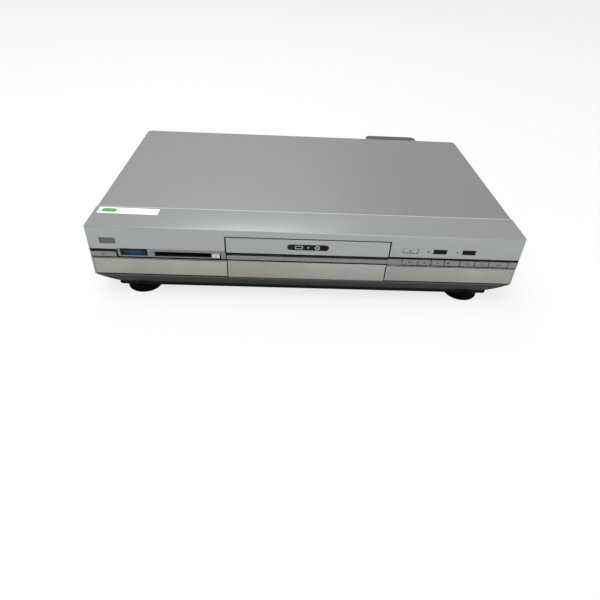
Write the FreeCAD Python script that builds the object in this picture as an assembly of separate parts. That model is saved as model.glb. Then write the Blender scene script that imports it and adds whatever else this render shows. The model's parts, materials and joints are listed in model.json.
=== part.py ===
import FreeCAD, Part
import math
import os

# Disc recorder with a hard disc: a low steel case with a moulded front, a disc tray in the middle,
# two drop-down mirror flaps, a row of keys, card slots and a fan at the back.
# Millimetres. X runs to the right seen from the front, Y to the back, Z up.
# The origin lies on the floor, under the middle of the overall box.

V = FreeCAD.Vector

# Flats on small turned pieces and on larger ones that stay out of sight
SMALL_SIDES = 12
PIN_SIDES = 8
TURNED_SIDES = 24
WELL_SIDES = 36
FOOT_SIDES = 18
# Lengths closer than this are the same
TINY = 0.001

# Overall case
WIDTH = 430.0
HEIGHT = 79.0
CASE_DEPTH = 271.6
FAN_BULGE = 16.4
BODY_HEIGHT = 69.0
SHEET = 1.0
CLEAR = 0.3
COVER_INSET = 0.3
COVER_BEND = 1.2
COVER_CORNER = 6.0
COVER_LIP = 10.0
COVER_RETURN = 8.0
COVER_TONGUE = 8.0
COVER_HEM = 2.0
LOUVRE_COUNT = 6
LOUVRE_WIDTH = 3.0
LOUVRE_HEIGHT = 24.0
LOUVRE_PITCH = 8.0
LOUVRE_REAR = 30.0
LOUVRE_DROP = 20.0

# Front moulding; drops are measured down from the top plane
FASCIA_DEPTH = 41.4
FASCIA_WALL = 2.4
CHEEK = 1.8
FRONT_EDGE_ROUND = 1.2
END_EDGE_ROUND = 1.2
PANEL_DROP = 25.3
ROW_TOP_DROP = 27.1
ROW_BOTTOM_DROP = 33.6
MIRROR_TOP_DROP = 34.5
MIRROR_BOTTOM_DROP = 54.4
CHIN_BOTTOM_DROP = 65.5
CHIN_SETBACK = 4.0
CHIN_END_SLOPE = 20.0
CHIN_TOP_CORNER = 2.0
CHIN_BOTTOM_CORNER = 7.0
CHIN_WALL = 2.2
CHIN_BANDS = 5
SEAM = 0.4
DOOR_GAP = 0.7

# Black inner frame behind the front moulding
FRAME_SETBACK = 7.0
FRAME_WALL = 2.0
RIB_SETBACK = 0.5
RIB_GAP = 0.15

# Card bay at the left of the front
BAND_INSET = 26.8
BAND_TOP_DROP = 23.6
BAND_SETBACK = 1.2
BAND_WALL = 2.0
MEMORY_DOOR_INSET = 42.8
MEMORY_DOOR_WIDTH = 26.0
MEMORY_DOOR_HEIGHT = 7.4
MEMORY_DOOR_DROP = 24.5
MEMORY_DOOR_THICK = 1.6
CARD_SLOT_INSET = 63.0
CARD_SLOT_KEY_GAP = 0.6
CARD_SLOT_HEIGHT = 5.1
CARD_SLOT_DROP = 27.2
CARD_SLOT_LENGTH = 88.0
CARD_CAGE_WALL = 0.9

# Keys
KEY_TRAVEL = 0.8
KEY_CAP = 4.6
KEY_STEM_WIDTH = 4.0
KEY_STEM_HEIGHT = 2.4
KEY_BEVEL = 0.35
ROW_LEFT_BLANK = 14.6
ROW_RIGHT_BLANK = 9.9
ROW_KEY_PARTS = (16.4, 13.5, 13.8, 15.9, 15.2, 14.7, 20.0)
POWER_KEY_WIDTH = 25.4
POWER_KEY_HEIGHT = 6.0
UPPER_KEY_DROP = 15.0
UPPER_KEY_HEIGHT = 4.4
OPEN_KEY_GAP = 13.8
OPEN_KEY_WIDTH = 14.8
SELECT_KEY_SHARES = (0.3336, 0.5515)
SELECT_KEY_WIDTH = 12.8
EJECT_KEY_GAP = 14.6
EJECT_KEY_WIDTH = 8.0
EJECT_KEY_HEIGHT = 5.2

# Switch board behind the inner frame
BOARD_SETBACK = 14.0
BOARD_THICK = 1.6
SWITCH_BODY = 6.0
SWITCH_HEIGHT = 2.4
SWITCH_PLUNGER = 0.4

# Remote sensor window
SENSOR_INSET = 11.8
SENSOR_WIDTH = 15.2
SENSOR_HEIGHT = 6.4
SENSOR_DROP = 12.0

# Mirror flaps and the fixed display window between them
FLAP_THICK = 2.8
FLAP_PIN = 1.0
FLAP_PIN_LENGTH = 1.2
WINDOW_WIDTH = 161.0
DISPLAY_WIDTH = 118.0
DISPLAY_HEIGHT = 15.0
DISPLAY_THICK = 4.0

# Tray door and disc tray
DOOR_WIDTH = 162.0
DOOR_TOP_DROP = 8.4
DOOR_THICK = 4.0
TRAY_WIDTH = 136.0
TRAY_LENGTH = 180.0
TRAY_TOP_DROP = 14.5
TRAY_HEIGHT = 6.0
DISC_WELL_RADIUS = 60.5
DISC_WELL_DEPTH = 2.5
SMALL_WELL_RADIUS = 40.5
SMALL_WELL_DEPTH = 1.2
TRAY_LIP = 8.0
KEYHOLE_HALF = 26.0
NOTCH_SHARE = 0.72
RUNNER_WIDTH = 3.0
RUNNER_THICK = 2.0
RUNNER_RISE = 1.0

# Rack and loading gears
GEAR_MODULE = 1.0
PINION_TEETH = 12
PRESSURE_ANGLE = 20.0
TIP_THINNING = 1.6
PINION_HEIGHT = 3.6
RACK_SPINE = 3.0
RACK_EDGE = 4.0
GEAR_SETBACK = 33.0
GEAR_POST = 2.0
PULLEY_RADIUS = 11.0
PULLEY_HEIGHT = 3.2
PULLEY_FLANGE = 1.0
PULLEY_RIM = 0.5
MOTOR_PULLEY_RADIUS = 3.5
LOADING_MOTOR_X = -25.0
LOADING_MOTOR_SETBACK = 31.5
LOADING_MOTOR_RADIUS = 10.0
MOTOR_SHAFT = 1.0
BELT_THICK = 1.0
BELT_GAP = 0.08
BELT_FLATS = 14

# Drive frame under and beside the tray
DRIVE_SETBACK = 18.0
DRIVE_LENGTH = 186.0
DRIVE_WALL = 2.0
DRIVE_LEG = 14.0
DRIVE_FLOOR_DROP = 43.0
DRIVE_WALL_TOP_DROP = 11.5
TRAY_SIDE_GAP = 0.6

# Lifting deck with the disc motor and the pickup
DECK_LIFT = 9.2
DECK_HALF = 38.0
DECK_FRONT = 30.0
DECK_REAR = 100.0
DECK_THICK = 1.5
DECK_DROP = 32.5
GUIDE_POST = 2.0
GUIDE_INSET = 5.0
SPINDLE_MOTOR_RADIUS = 14.0
SPINDLE_MOTOR_HEIGHT = 9.0
SPINDLE_FLANGE = 2.0
SPINDLE_SHAFT = 1.5
TURNTABLE_RADIUS = 14.0
TURNTABLE_THICK = 3.0
CONE_RADIUS = 7.4
CONE_HEIGHT = 3.4
SLED_HALF = 18.0
SLED_LENGTH = 24.0
SLED_START = 15.0
SLED_TRAVEL = 34.0
SLED_HEIGHT = 4.2
LENS_RADIUS = 3.2
LENS_SHARE = 0.42
LENS_HEIGHT = 1.0
ROD_RADIUS = 1.5
ROD_X = 14.5
EAR_THICK = 2.0
SCREW_X = 21.5
SCREW_RADIUS = 1.2
FEED_MOTOR_RADIUS = 3.3
FEED_MOTOR_LENGTH = 14.0
RUN_FIT = 0.08

# Disc clamp and its bridge over the tray
BRIDGE_HALF = 17.0
BRIDGE_THICK = 1.2
BRIDGE_RISE = 2.5
CLAMP_RADIUS = 16.0
CLAMP_NECK = 11.0
CLAMP_CAP_RADIUS = 14.0
CLAMP_CAP = 1.5
CLAMP_RECESS = 3.2

# Hard disc on its bracket at the right
HDD_WIDTH = 101.6
HDD_LENGTH = 147.0
HDD_HEIGHT = 26.1
HDD_CORNER = 2.0
HDD_SETBACK = 43.0
HDD_RISE = 12.0
BRACKET_SHEET = 1.2
BRACKET_FOOT = 10.0

# Power board at the left
BRIDGE_LIFT = 7.0
PSU_INSET = 10.0
PSU_DRIVE_GAP = 11.4
PSU_SETBACK = 112.0
PSU_REAR_GAP = 23.6
TRANSFORMER_SIZE = 32.0
TRANSFORMER_HEIGHT = 27.0
CAPACITOR_RADII = (11.0, 8.0, 5.0, 5.0, 5.0)
CAPACITOR_HEIGHTS = (32.0, 26.0, 20.0, 20.0, 20.0)
SINK_LENGTH = 60.0
SINK_HEIGHT = 30.0
SINK_FINS = 5

# Main board and the sockets on its rear edge
MAIN_LEFT = -78.0
MAIN_MARGIN = 13.0
MAIN_SETBACK = 201.0
MAIN_REAR_GAP = 19.6
CHIP_SIZE = 24.0
CHIP_HEIGHT = 2.4
CHIP_SHARES = (0.36, 0.62, 0.76, 0.9)
TUNER_WIDTH = 34.0
TUNER_LENGTH = 36.0
TUNER_HEIGHT = 44.0
AERIAL_RADIUS = 4.7
AERIAL_LENGTH = 11.0
AERIAL_PITCH = 20.0
JACK_LEFT = -20.0
JACK_COLUMNS = 4
JACK_ROWS = 2
JACK_PITCH_X = 19.0
JACK_PITCH_Z = 15.0
JACK_RADIUS = 4.2
JACK_BORE = 1.6
JACK_LENGTH = 8.5
JACK_BODY_DEPTH = 13.0
INLET_INSET = 43.0
INLET_WIDTH = 21.0
INLET_HEIGHT = 11.0
INLET_DEPTH = 20.0
INLET_CAVITY_DEPTH = 12.0
INLET_WALL = 1.6
INLET_PIN = 1.1
INLET_PIN_PITCH = 8.6
INLET_FLANGE = 2.0

# Fan outside the rear panel and its cover
FAN_INSET = 55.0
FAN_COVER_WIDTH = 70.0
FAN_COVER_HEIGHT = 64.0
FAN_COVER_DROP = 0.8
FAN_COVER_WALL = 1.6
FAN_COVER_CORNER = 7.0
FAN_SIZE = 60.0
FAN_THICK = 13.5
FAN_BORE = 28.4
FAN_HUB = 13.0
FAN_BLADES = 7
FAN_STRUTS = 3
FAN_PITCH = 50.0
FAN_TIP_GAP = 1.0
GRILLE_BARS = 9

# Front sockets behind the flaps
FRONT_JACKS = 4
FRONT_JACK_INSET = 19.0
FRONT_JACK_PITCH = 16.0
LINK_SOCKET_GAP = 19.0
LINK_SOCKET_WIDTH = 9.0
LINK_SOCKET_HEIGHT = 5.0

# Feet and screws
FOOT_RADIUS = 17.5
FOOT_INSET = 43.5
FOOT_FRONT = 20.0
FOOT_REAR = 30.0
FOOT_ROUND = 1.0
SCREW_HEAD = 3.4
SCREW_SHANK = 1.5
SCREW_LENGTH = 5.0
SCREW_DIMPLE = 0.5
SCREW_SETBACK = 18.0
REAR_SCREW_SHARE = 0.8
PAN_FLANGE = 14.0
PAN_CORNER = 5.0
VENT_SLOTS = 6
VENT_LENGTH = 40.0
VENT_WIDTH = 3.0
VENT_PITCH = 9.0

# Places that follow from the sizes above
FOOT_HEIGHT = HEIGHT - BODY_HEIGHT
FRONT_Y = -(CASE_DEPTH + FAN_BULGE) / 2
REAR_Y = FRONT_Y + CASE_DEPTH


def behind(distance):
    """Y of a point that lies a distance behind the front face."""
    return FRONT_Y + distance


def below(drop):
    """Z of a point that lies a drop below the top of the case."""
    return HEIGHT - drop


END_X = WIDTH / 2
COVER_X = END_X - COVER_INSET
PAN_X = COVER_X - SHEET - CLEAR
PAN_TOP = FOOT_HEIGHT + SHEET
PANEL_REAR = REAR_Y - SHEET
PANEL_FRONT = PANEL_REAR - SHEET
FASCIA_REAR = behind(FASCIA_DEPTH)
FRAME_Y = behind(FRAME_SETBACK)
FRAME_REAR = FRAME_Y + FRAME_WALL
BOARD_Y = behind(BOARD_SETBACK)
ROW_Z = (below(ROW_BOTTOM_DROP), below(ROW_TOP_DROP))
MIRROR_Z = (below(MIRROR_BOTTOM_DROP) + CLEAR, below(MIRROR_TOP_DROP))
CHIN_TOP = below(MIRROR_BOTTOM_DROP)
CHIN_BOTTOM = below(CHIN_BOTTOM_DROP)
DOOR_X = DOOR_WIDTH / 2
DOOR_Z = (below(PANEL_DROP), below(DOOR_TOP_DROP))
BAND_RIGHT = -DOOR_X - DOOR_GAP
MIRROR_END = END_X - CHEEK - CLEAR
BAND_LEFT = -END_X + BAND_INSET
MEMORY_DOOR_CENTRE = -END_X + MEMORY_DOOR_INSET
EJECT_KEY_LEFT = -DOOR_X - EJECT_KEY_GAP
CARD_SLOT_LEFT = -END_X + CARD_SLOT_INSET
CARD_SLOT_WIDTH = EJECT_KEY_LEFT - CARD_SLOT_KEY_GAP - CARD_SLOT_LEFT
SENSOR_LEFT = -END_X + SENSOR_INSET
ROW_KEYS_LEFT = DOOR_X + ROW_LEFT_BLANK
ROW_KEYS_SCALE = (END_X - ROW_RIGHT_BLANK - ROW_KEYS_LEFT) / sum(ROW_KEY_PARTS)
ROW_KEY_WIDTHS = [part * ROW_KEYS_SCALE for part in ROW_KEY_PARTS]
OPEN_KEY_LEFT = DOOR_X + OPEN_KEY_GAP
SELECT_KEY_LEFTS = [DOOR_X + share * (END_X - DOOR_X) for share in SELECT_KEY_SHARES]
FRONT_JACK_XS = [-END_X + FRONT_JACK_INSET + index * FRONT_JACK_PITCH for index in range(FRONT_JACKS)]
LINK_SOCKET_X = DOOR_X + LINK_SOCKET_GAP
WINDOW_X = WINDOW_WIDTH / 2
BAND_Z = (below(ROW_BOTTOM_DROP), below(BAND_TOP_DROP) - CLEAR)

TRAY_TOP = below(TRAY_TOP_DROP)
TRAY_BOTTOM = TRAY_TOP - TRAY_HEIGHT
TRAY_X = TRAY_WIDTH / 2
TRAY_Y = behind(DOOR_THICK)
DISC_Y = TRAY_Y + TRAY_LIP + DISC_WELL_RADIUS
RUNNER_Z = (TRAY_BOTTOM + RUNNER_RISE, TRAY_BOTTOM + RUNNER_RISE + RUNNER_THICK)
RUNNER_X = TRAY_X + RUNNER_WIDTH
PITCH_RADIUS = GEAR_MODULE * PINION_TEETH / 2
ADDENDUM = GEAR_MODULE
DEDENDUM = 1.25 * GEAR_MODULE
RACK_BACK = -TRAY_X + RACK_EDGE
RACK_ROOT = RACK_BACK + RACK_SPINE
GEAR_X = RACK_ROOT + DEDENDUM + PITCH_RADIUS
GEAR_Y = behind(GEAR_SETBACK)
RACK_Z = (TRAY_BOTTOM - PINION_HEIGHT + CLEAR, TRAY_BOTTOM)
PINION_Z = (TRAY_BOTTOM - CLEAR - PINION_HEIGHT, TRAY_BOTTOM - CLEAR)
PULLEY_Z = (PINION_Z[0] - CLEAR - PULLEY_HEIGHT, PINION_Z[0] - CLEAR)
LOADING_MOTOR_Y = behind(LOADING_MOTOR_SETBACK)

DRIVE_Y = (behind(DRIVE_SETBACK), behind(DRIVE_SETBACK + DRIVE_LENGTH))
DRIVE_X = RUNNER_X + TRAY_SIDE_GAP + DRIVE_WALL
DRIVE_FLOOR = below(DRIVE_FLOOR_DROP)
DRIVE_FLOOR_TOP = DRIVE_FLOOR + DRIVE_WALL
DRIVE_WALL_TOP = below(DRIVE_WALL_TOP_DROP)

DECK_Z = (below(DECK_DROP) - DECK_THICK, below(DECK_DROP))
DECK_Y = (DISC_Y - DECK_FRONT, DISC_Y + DECK_REAR)
GUIDE_X = DECK_HALF - GUIDE_INSET
MOTOR_TOP = DECK_Z[1] + SPINDLE_MOTOR_HEIGHT / 2
TURNTABLE_Z = (MOTOR_TOP + CLEAR, MOTOR_TOP + CLEAR + TURNTABLE_THICK)
ROD_Z = DECK_Z[1] + CLEAR + SLED_HEIGHT / 2 + SHEET
SLED_Z = (ROD_Z - SLED_HEIGHT / 2, ROD_Z + SLED_HEIGHT / 2)
SLED_Y = (DISC_Y + SLED_START, DISC_Y + SLED_START + SLED_LENGTH)
EAR_FRONT_Y = (SLED_Y[0] - CLEAR - EAR_THICK, SLED_Y[0] - CLEAR)
EAR_REAR_Y = (SLED_Y[1] + SLED_TRAVEL + CLEAR, SLED_Y[1] + SLED_TRAVEL + CLEAR + EAR_THICK)

BRIDGE_Z = (DRIVE_WALL_TOP + BRIDGE_RISE, DRIVE_WALL_TOP + BRIDGE_RISE + BRIDGE_THICK)
CLAMP_BOTTOM = TRAY_TOP + 2 * CLEAR

HDD_Z = (PAN_TOP + HDD_RISE, PAN_TOP + HDD_RISE + HDD_HEIGHT)
HDD_MIDDLE = (DRIVE_X + PAN_X) / 2
HDD_X = (HDD_MIDDLE - HDD_WIDTH / 2, HDD_MIDDLE + HDD_WIDTH / 2)
HDD_Y = (behind(HDD_SETBACK), behind(HDD_SETBACK + HDD_LENGTH))

CIRCUIT_Z = (PAN_TOP + BRIDGE_LIFT, PAN_TOP + BRIDGE_LIFT + BOARD_THICK)
PSU_X = (-END_X + PSU_INSET, -DRIVE_X - PSU_DRIVE_GAP)
PSU_Y = (behind(PSU_SETBACK), REAR_Y - PSU_REAR_GAP)
MAIN_X = (MAIN_LEFT, END_X - MAIN_MARGIN)
MAIN_Y = (behind(MAIN_SETBACK), REAR_Y - MAIN_REAR_GAP)
INLET_X = -END_X + INLET_INSET
INLET_Z = (CIRCUIT_Z[1], CIRCUIT_Z[1] + INLET_HEIGHT)
TUNER_X = (MAIN_LEFT, MAIN_LEFT + TUNER_WIDTH)
TUNER_Z = (CIRCUIT_Z[1], CIRCUIT_Z[1] + TUNER_HEIGHT)

FAN_LEFT = END_X - FAN_INSET - FAN_COVER_WIDTH
FAN_X = FAN_LEFT + FAN_COVER_WIDTH / 2
FAN_COVER_Z = (below(FAN_COVER_DROP) - FAN_COVER_HEIGHT, below(FAN_COVER_DROP))
FAN_Z = (FAN_COVER_Z[0] + FAN_COVER_Z[1]) / 2
FAN_END_Y = REAR_Y + FAN_BULGE
FOOT_X = END_X - FOOT_INSET
FEET = [(x, y) for x in (-FOOT_X, FOOT_X) for y in (behind(FOOT_FRONT), REAR_Y - FOOT_REAR)]


def block(x, y, z):
    """Box between two values on each axis."""
    return Part.makeBox(x[1] - x[0], y[1] - y[0], z[1] - z[0], V(x[0], y[0], z[0]))


def rod(radius, start, end, sides=0):
    """Round bar from one point to another; with sides, a bar with that many flats inside the round one."""
    start = V(*start)
    along = V(*end) - start
    if not sides:
        return Part.makeCylinder(radius, along.Length, start, along)
    corners = [V(radius * math.cos(angle), radius * math.sin(angle), 0) for angle in flats(sides)]
    bar = Part.Face(Part.makePolygon(corners + corners[:1])).extrude(V(0, 0, along.Length))
    bar.Placement = FreeCAD.Placement(start, FreeCAD.Rotation(V(0, 0, 1), along))
    return bar


def flats(sides):
    """Angles of the corners of a regular outline, in radians."""
    return [2 * math.pi * index / sides for index in range(sides)]


def bore(radius, start, end, sides):
    """Tool for a small round hole, cut with flats that leave the whole round free."""
    return rod(radius / math.cos(math.pi / sides), start, end, sides)


def upright(radius, x, y, z, sides=0):
    """Round bar that stands upright over a span of Z."""
    return rod(radius, (x, y, z[0]), (x, y, z[1]), sides)


def upright_bore(radius, x, y, z, sides):
    """Tool for an upright round hole over a span of Z."""
    return bore(radius, (x, y, z[0]), (x, y, z[1]), sides)


def level(radius, x, z, y, sides=0):
    """Round bar that lies from front to back over a span of Y."""
    return rod(radius, (x, y[0], z), (x, y[1], z), sides)


def level_bore(radius, x, z, y, sides):
    """Tool for a round hole from front to back over a span of Y."""
    return bore(radius, (x, y[0], z), (x, y[1], z), sides)


def around(centre, half):
    """Pair of values on both sides of a centre."""
    return (centre - half, centre + half)


def middle(span):
    """Middle of a pair of values."""
    return (span[0] + span[1]) / 2


def join(shapes):
    """One solid from pieces that touch or overlap."""
    first = shapes[0]
    return first.fuse(shapes[1:]).removeSplitter() if len(shapes) > 1 else first


def cut(shape, tools):
    """Shape without the space of the tools."""
    return shape.cut(tools) if tools else shape


def upright_edges(shape, near_y=None):
    """Edges that run along Z, all of them or only those at one Y."""
    picked = []
    for edge in shape.Edges:
        box = edge.BoundBox
        upright = box.XLength < TINY and box.YLength < TINY
        if upright and (near_y is None or abs(box.YMin - near_y) < TINY):
            picked.append(edge)
    return picked


def top_edges(shape, along):
    """Edges at the top of a shape that run along X or along Y."""
    top = shape.BoundBox.ZMax
    picked = []
    for edge in shape.Edges:
        box = edge.BoundBox
        length = box.XLength if along == "x" else box.YLength
        other = box.YLength if along == "x" else box.XLength
        if abs(box.ZMin - top) < TINY and length > SHEET and other < TINY:
            picked.append(edge)
    return picked


def rounded_plan(x, y, z, radius):
    """Box with its four upright edges rounded."""
    shape = block(x, y, z)
    return shape.makeFillet(radius, upright_edges(shape))


def base_pan():
    """Steel tray under everything, with side flanges, vents and pressed bridges for the boards."""
    y = (behind(CHIN_SETBACK), PANEL_FRONT)
    z = (FOOT_HEIGHT, PAN_TOP)
    floor = block((-PAN_X, PAN_X), (FASCIA_REAR, y[1]), z)
    floor = floor.makeFillet(COVER_CORNER, upright_edges(floor, y[1]))
    nose_x = END_X - CHIN_END_SLOPE - SHEET
    nose = block((-nose_x, nose_x), (y[0], FASCIA_REAR), z)
    nose = nose.makeFillet(PAN_CORNER, upright_edges(nose, y[0]))
    lip_x = nose_x - PAN_CORNER
    lip = block((-lip_x, lip_x), (y[0], y[0] + SHEET), (FOOT_HEIGHT, CHIN_BOTTOM - CLEAR))
    pieces = [floor, nose, lip]
    flange_y = (FASCIA_REAR, y[1] - COVER_CORNER)
    for side in (-1, 1):
        x = sorted((side * PAN_X, side * (PAN_X - SHEET)))
        pieces.append(block(x, flange_y, (FOOT_HEIGHT, PAN_TOP + PAN_FLANGE)))
    pieces += board_bridges(PSU_X, PSU_Y) + board_bridges(MAIN_X, MAIN_Y)
    slots = vent_slots(middle(PSU_X), middle(PSU_Y))
    slots += vent_slots(HDD_MIDDLE, middle(HDD_Y))
    return cut(join(pieces), slots + screw_holes())


def board_bridges(x, y):
    """Four pressed bridges that carry a circuit board by its corners."""
    half = BRIDGE_LIFT / 2
    z = (PAN_TOP, PAN_TOP + BRIDGE_LIFT)
    centres_x = (x[0] + BRIDGE_LIFT, x[1] - BRIDGE_LIFT)
    centres_y = (y[0] + BRIDGE_LIFT, y[1] - BRIDGE_LIFT)
    return [block(around(cx, half), around(cy, half), z) for cx in centres_x for cy in centres_y]


def vent_slots(centre_x, centre_y):
    """Row of cooling slots through the pan."""
    slots = []
    for index in range(VENT_SLOTS):
        x = centre_x + (index - (VENT_SLOTS - 1) / 2) * VENT_PITCH
        span = (FOOT_HEIGHT - SHEET, PAN_TOP + SHEET)
        slots.append(block(around(x, VENT_WIDTH / 2), around(centre_y, VENT_LENGTH / 2), span))
    return slots


def rear_panel():
    """Steel rear wall with holes for the sockets, the inlet and the fan."""
    z = (PAN_TOP, HEIGHT - SHEET - CLEAR)
    x = COVER_X - COVER_CORNER - CLEAR
    plate = block((-x, x), (PANEL_FRONT, PANEL_REAR), z)
    shelf = block((-x, x), (PANEL_FRONT - COVER_LIP, PANEL_FRONT), (z[1] - SHEET, z[1]))
    through = (PANEL_FRONT - SHEET, PANEL_REAR + SHEET)
    tools = [level_bore(FAN_BORE, FAN_X, FAN_Z, through, TURNED_SIDES)]
    inlet_x = around(INLET_X, INLET_WIDTH / 2 + CLEAR)
    tools.append(block(inlet_x, through, (INLET_Z[0] - CLEAR, INLET_Z[1] + CLEAR)))
    for x, z_jack in jack_places():
        tools.append(level_bore(JACK_RADIUS + CLEAR, x, z_jack, through, PIN_SIDES))
    for x, z_aerial in aerial_places():
        tools.append(level_bore(AERIAL_RADIUS + CLEAR, x, z_aerial, through, PIN_SIDES))
    tools += screw_holes()
    return cut(join([plate, shelf]), tools)


def top_cover():
    """Steel cover: top and sides in one sheet, rounded rear corners, a rear lip and side louvres."""
    front = FASCIA_REAR + SEAM
    bottom = FOOT_HEIGHT + COVER_HEM
    sheet = block((-COVER_X, COVER_X), (front, REAR_Y), (bottom, HEIGHT))
    bent = sheet.makeFillet(COVER_BEND, top_edges(sheet, "y"))
    outer = bent.common(sheet.makeFillet(COVER_CORNER, upright_edges(sheet, REAR_Y)))
    inner_x = COVER_X - SHEET
    inner_z = (bottom - SHEET, HEIGHT - SHEET)
    inner = block((-inner_x, inner_x), (front - SHEET, REAR_Y - SHEET), inner_z)
    inner = inner.makeFillet(COVER_CORNER - SHEET, upright_edges(inner, REAR_Y - SHEET))
    open_x = COVER_X - COVER_RETURN
    past_lip = (REAR_Y - 2 * SHEET, REAR_Y + SHEET)
    back = block((-open_x, open_x), past_lip, (bottom - SHEET, HEIGHT - COVER_LIP))
    fan_gap_x = (FAN_LEFT - CLEAR, FAN_LEFT + FAN_COVER_WIDTH + CLEAR)
    fan_gap = block(fan_gap_x, past_lip, (HEIGHT - 2 * COVER_LIP, HEIGHT - SHEET))
    shell = cut(outer, [inner, back, fan_gap])
    tongue_top = HEIGHT - FASCIA_WALL - CLEAR
    tongue_x = around(0, END_X - FASCIA_WALL - COVER_BEND - CLEAR)
    step = block(tongue_x, (front, front + SHEET), (tongue_top - SHEET, HEIGHT - SHEET))
    tongue = block(tongue_x, (front - COVER_TONGUE, front + SHEET), (tongue_top - SHEET, tongue_top))
    return cut(join([shell, step, tongue]), louvres() + screw_dimples() + screw_holes())


def louvres():
    """Cooling slots through both sides of the cover, near its rear."""
    tools = []
    z = (below(LOUVRE_DROP + LOUVRE_HEIGHT), below(LOUVRE_DROP))
    for index in range(LOUVRE_COUNT):
        y = REAR_Y - LOUVRE_REAR - index * LOUVRE_PITCH
        tools.append(block((-END_X, END_X), around(y, LOUVRE_WIDTH / 2), z))
    return tools


def front_fascia():
    """Silver front moulding: upper panel, a top that runs back to the cover, and two end cheeks."""
    bar = block((-END_X, END_X), (FRONT_Y, FASCIA_REAR), (CHIN_TOP, HEIGHT))
    front_top = [edge for edge in top_edges(bar, "x") if edge.BoundBox.YMax < FRONT_Y + TINY]
    topped = bar.makeFillet(min(FRONT_EDGE_ROUND, FASCIA_WALL), front_top)
    outer = topped.common(bar.makeFillet(END_EDGE_ROUND, upright_edges(bar, FRONT_Y)))
    inner_x = END_X - CHEEK
    inner_z = (CHIN_TOP - CHEEK, HEIGHT - FASCIA_WALL)
    inner = block((-inner_x, inner_x), (behind(FASCIA_WALL), FASCIA_REAR + CHEEK), inner_z)
    ahead = FRONT_Y - FASCIA_WALL
    past_wall = behind(FASCIA_WALL + CHEEK)
    lower = block((-inner_x, inner_x), (ahead, past_wall), (CHIN_TOP - CHEEK, below(PANEL_DROP)))
    row_zone = block((-END_X - CHEEK, END_X + CHEEK), (ahead, behind(KEY_CAP + KEY_TRAVEL + CLEAR)),
                     (MIRROR_Z[1], below(PANEL_DROP)))
    band = block((BAND_LEFT, BAND_RIGHT + SEAM), (ahead, past_wall), (CHIN_TOP, below(BAND_TOP_DROP)))
    door = block(around(0, DOOR_X + DOOR_GAP), (ahead, past_wall), (CHIN_TOP, DOOR_Z[1] + DOOR_GAP))
    sensor = block(*sensor_box(ahead, past_wall, RUN_FIT))
    holes = [inner, lower, row_zone, band, door, sensor]
    holes += [block((x[0] - SEAM, x[1] + SEAM), (ahead, past_wall), (z[0] - SEAM, z[1] + SEAM))
              for x, z in upper_keys().values()]
    pin_x = END_X - CHEEK + FLAP_PIN_LENGTH + CLEAR
    y, z = flap_axis()
    holes.append(bore(FLAP_PIN + RUN_FIT, (-pin_x, y, z), (pin_x, y, z), PIN_SIDES))
    return cut(outer, holes)


def sensor_box(front, rear, extra):
    """Spans of the remote sensor window on the three axes, widened by a gap."""
    x = (SENSOR_LEFT - extra, SENSOR_LEFT + SENSOR_WIDTH + extra)
    z = (below(SENSOR_DROP + SENSOR_HEIGHT) - extra, below(SENSOR_DROP) + extra)
    return x, (front, rear), z


def sensor_window():
    """Grey window over the remote control sensor, flush in the upper panel, with a stop behind it."""
    pane = block(*sensor_box(FRONT_Y, behind(FASCIA_WALL), 0.0))
    stop = block(*sensor_box(behind(FASCIA_WALL), behind(FASCIA_WALL) + SHEET, SHEET))
    return join([pane, stop])


def inner_frame():
    """Black inner frame: one wall behind the front moulding, with windows for all that passes it."""
    x = END_X - CHEEK - CLEAR
    top = HEIGHT - FASCIA_WALL - 2 * CLEAR - SHEET
    wall = block((-x, x), (FRAME_Y, FRAME_REAR), (PAN_TOP, top))
    through = (FRAME_Y - FRAME_WALL, FRAME_REAR + FRAME_WALL)
    gap = TRAY_SIDE_GAP
    tools = [block((-RUNNER_X - gap, RUNNER_X + gap), through, (RACK_Z[0] - gap, TRAY_TOP + gap))]
    display_x = around(0, DISPLAY_WIDTH / 2 + gap)
    tools.append(block(display_x, through, around(display_z(), DISPLAY_HEIGHT / 2 + gap)))
    door_x = around(MEMORY_DOOR_CENTRE, MEMORY_DOOR_WIDTH / 2 + gap)
    door_z = (below(MEMORY_DOOR_DROP + MEMORY_DOOR_HEIGHT) - gap, below(MEMORY_DOOR_DROP) + gap)
    tools.append(block(door_x, through, door_z))
    slot = card_slot_spans(0.0)
    tools.append(block(slot[0], through, slot[1]))
    for x_key, z_key in key_centres().values():
        tools.append(block(around(x_key, KEY_STEM_WIDTH / 2 + CLEAR), through,
                           around(z_key, KEY_STEM_HEIGHT / 2 + CLEAR)))
    for x_jack in FRONT_JACK_XS:
        tools.append(level_bore(JACK_RADIUS + CLEAR, x_jack, front_jack_z(), through, PIN_SIDES))
    link_x = around(LINK_SOCKET_X, LINK_SOCKET_WIDTH / 2 + CLEAR)
    tools.append(block(link_x, through, around(front_jack_z(), LINK_SOCKET_HEIGHT / 2 + CLEAR)))
    wall = cut(wall, tools + chin_corners(through))
    return join([wall] + frame_ribs())


def frame_ribs():
    """Black ribs of the inner frame that fill the grooves above and below the key row."""
    groove_z = (ROW_Z[1] + RIB_GAP, below(PANEL_DROP) - RIB_GAP)
    seam_z = (MIRROR_Z[1] + 2 * RIB_GAP, ROW_Z[0] - RIB_GAP)
    end = END_X - SEAM
    spans = [(-DOOR_X, end, groove_z), (-end, BAND_LEFT - SEAM, groove_z), (-end, end, seam_z)]
    ribs = []
    for left, right, z in spans:
        ribs.append(block((left, right), (behind(RIB_SETBACK), behind(KEY_CAP)), z))
        ribs.append(block((max(left, -MIRROR_END), min(right, MIRROR_END)), (behind(KEY_CAP), FRAME_REAR), z))
    return ribs


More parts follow.
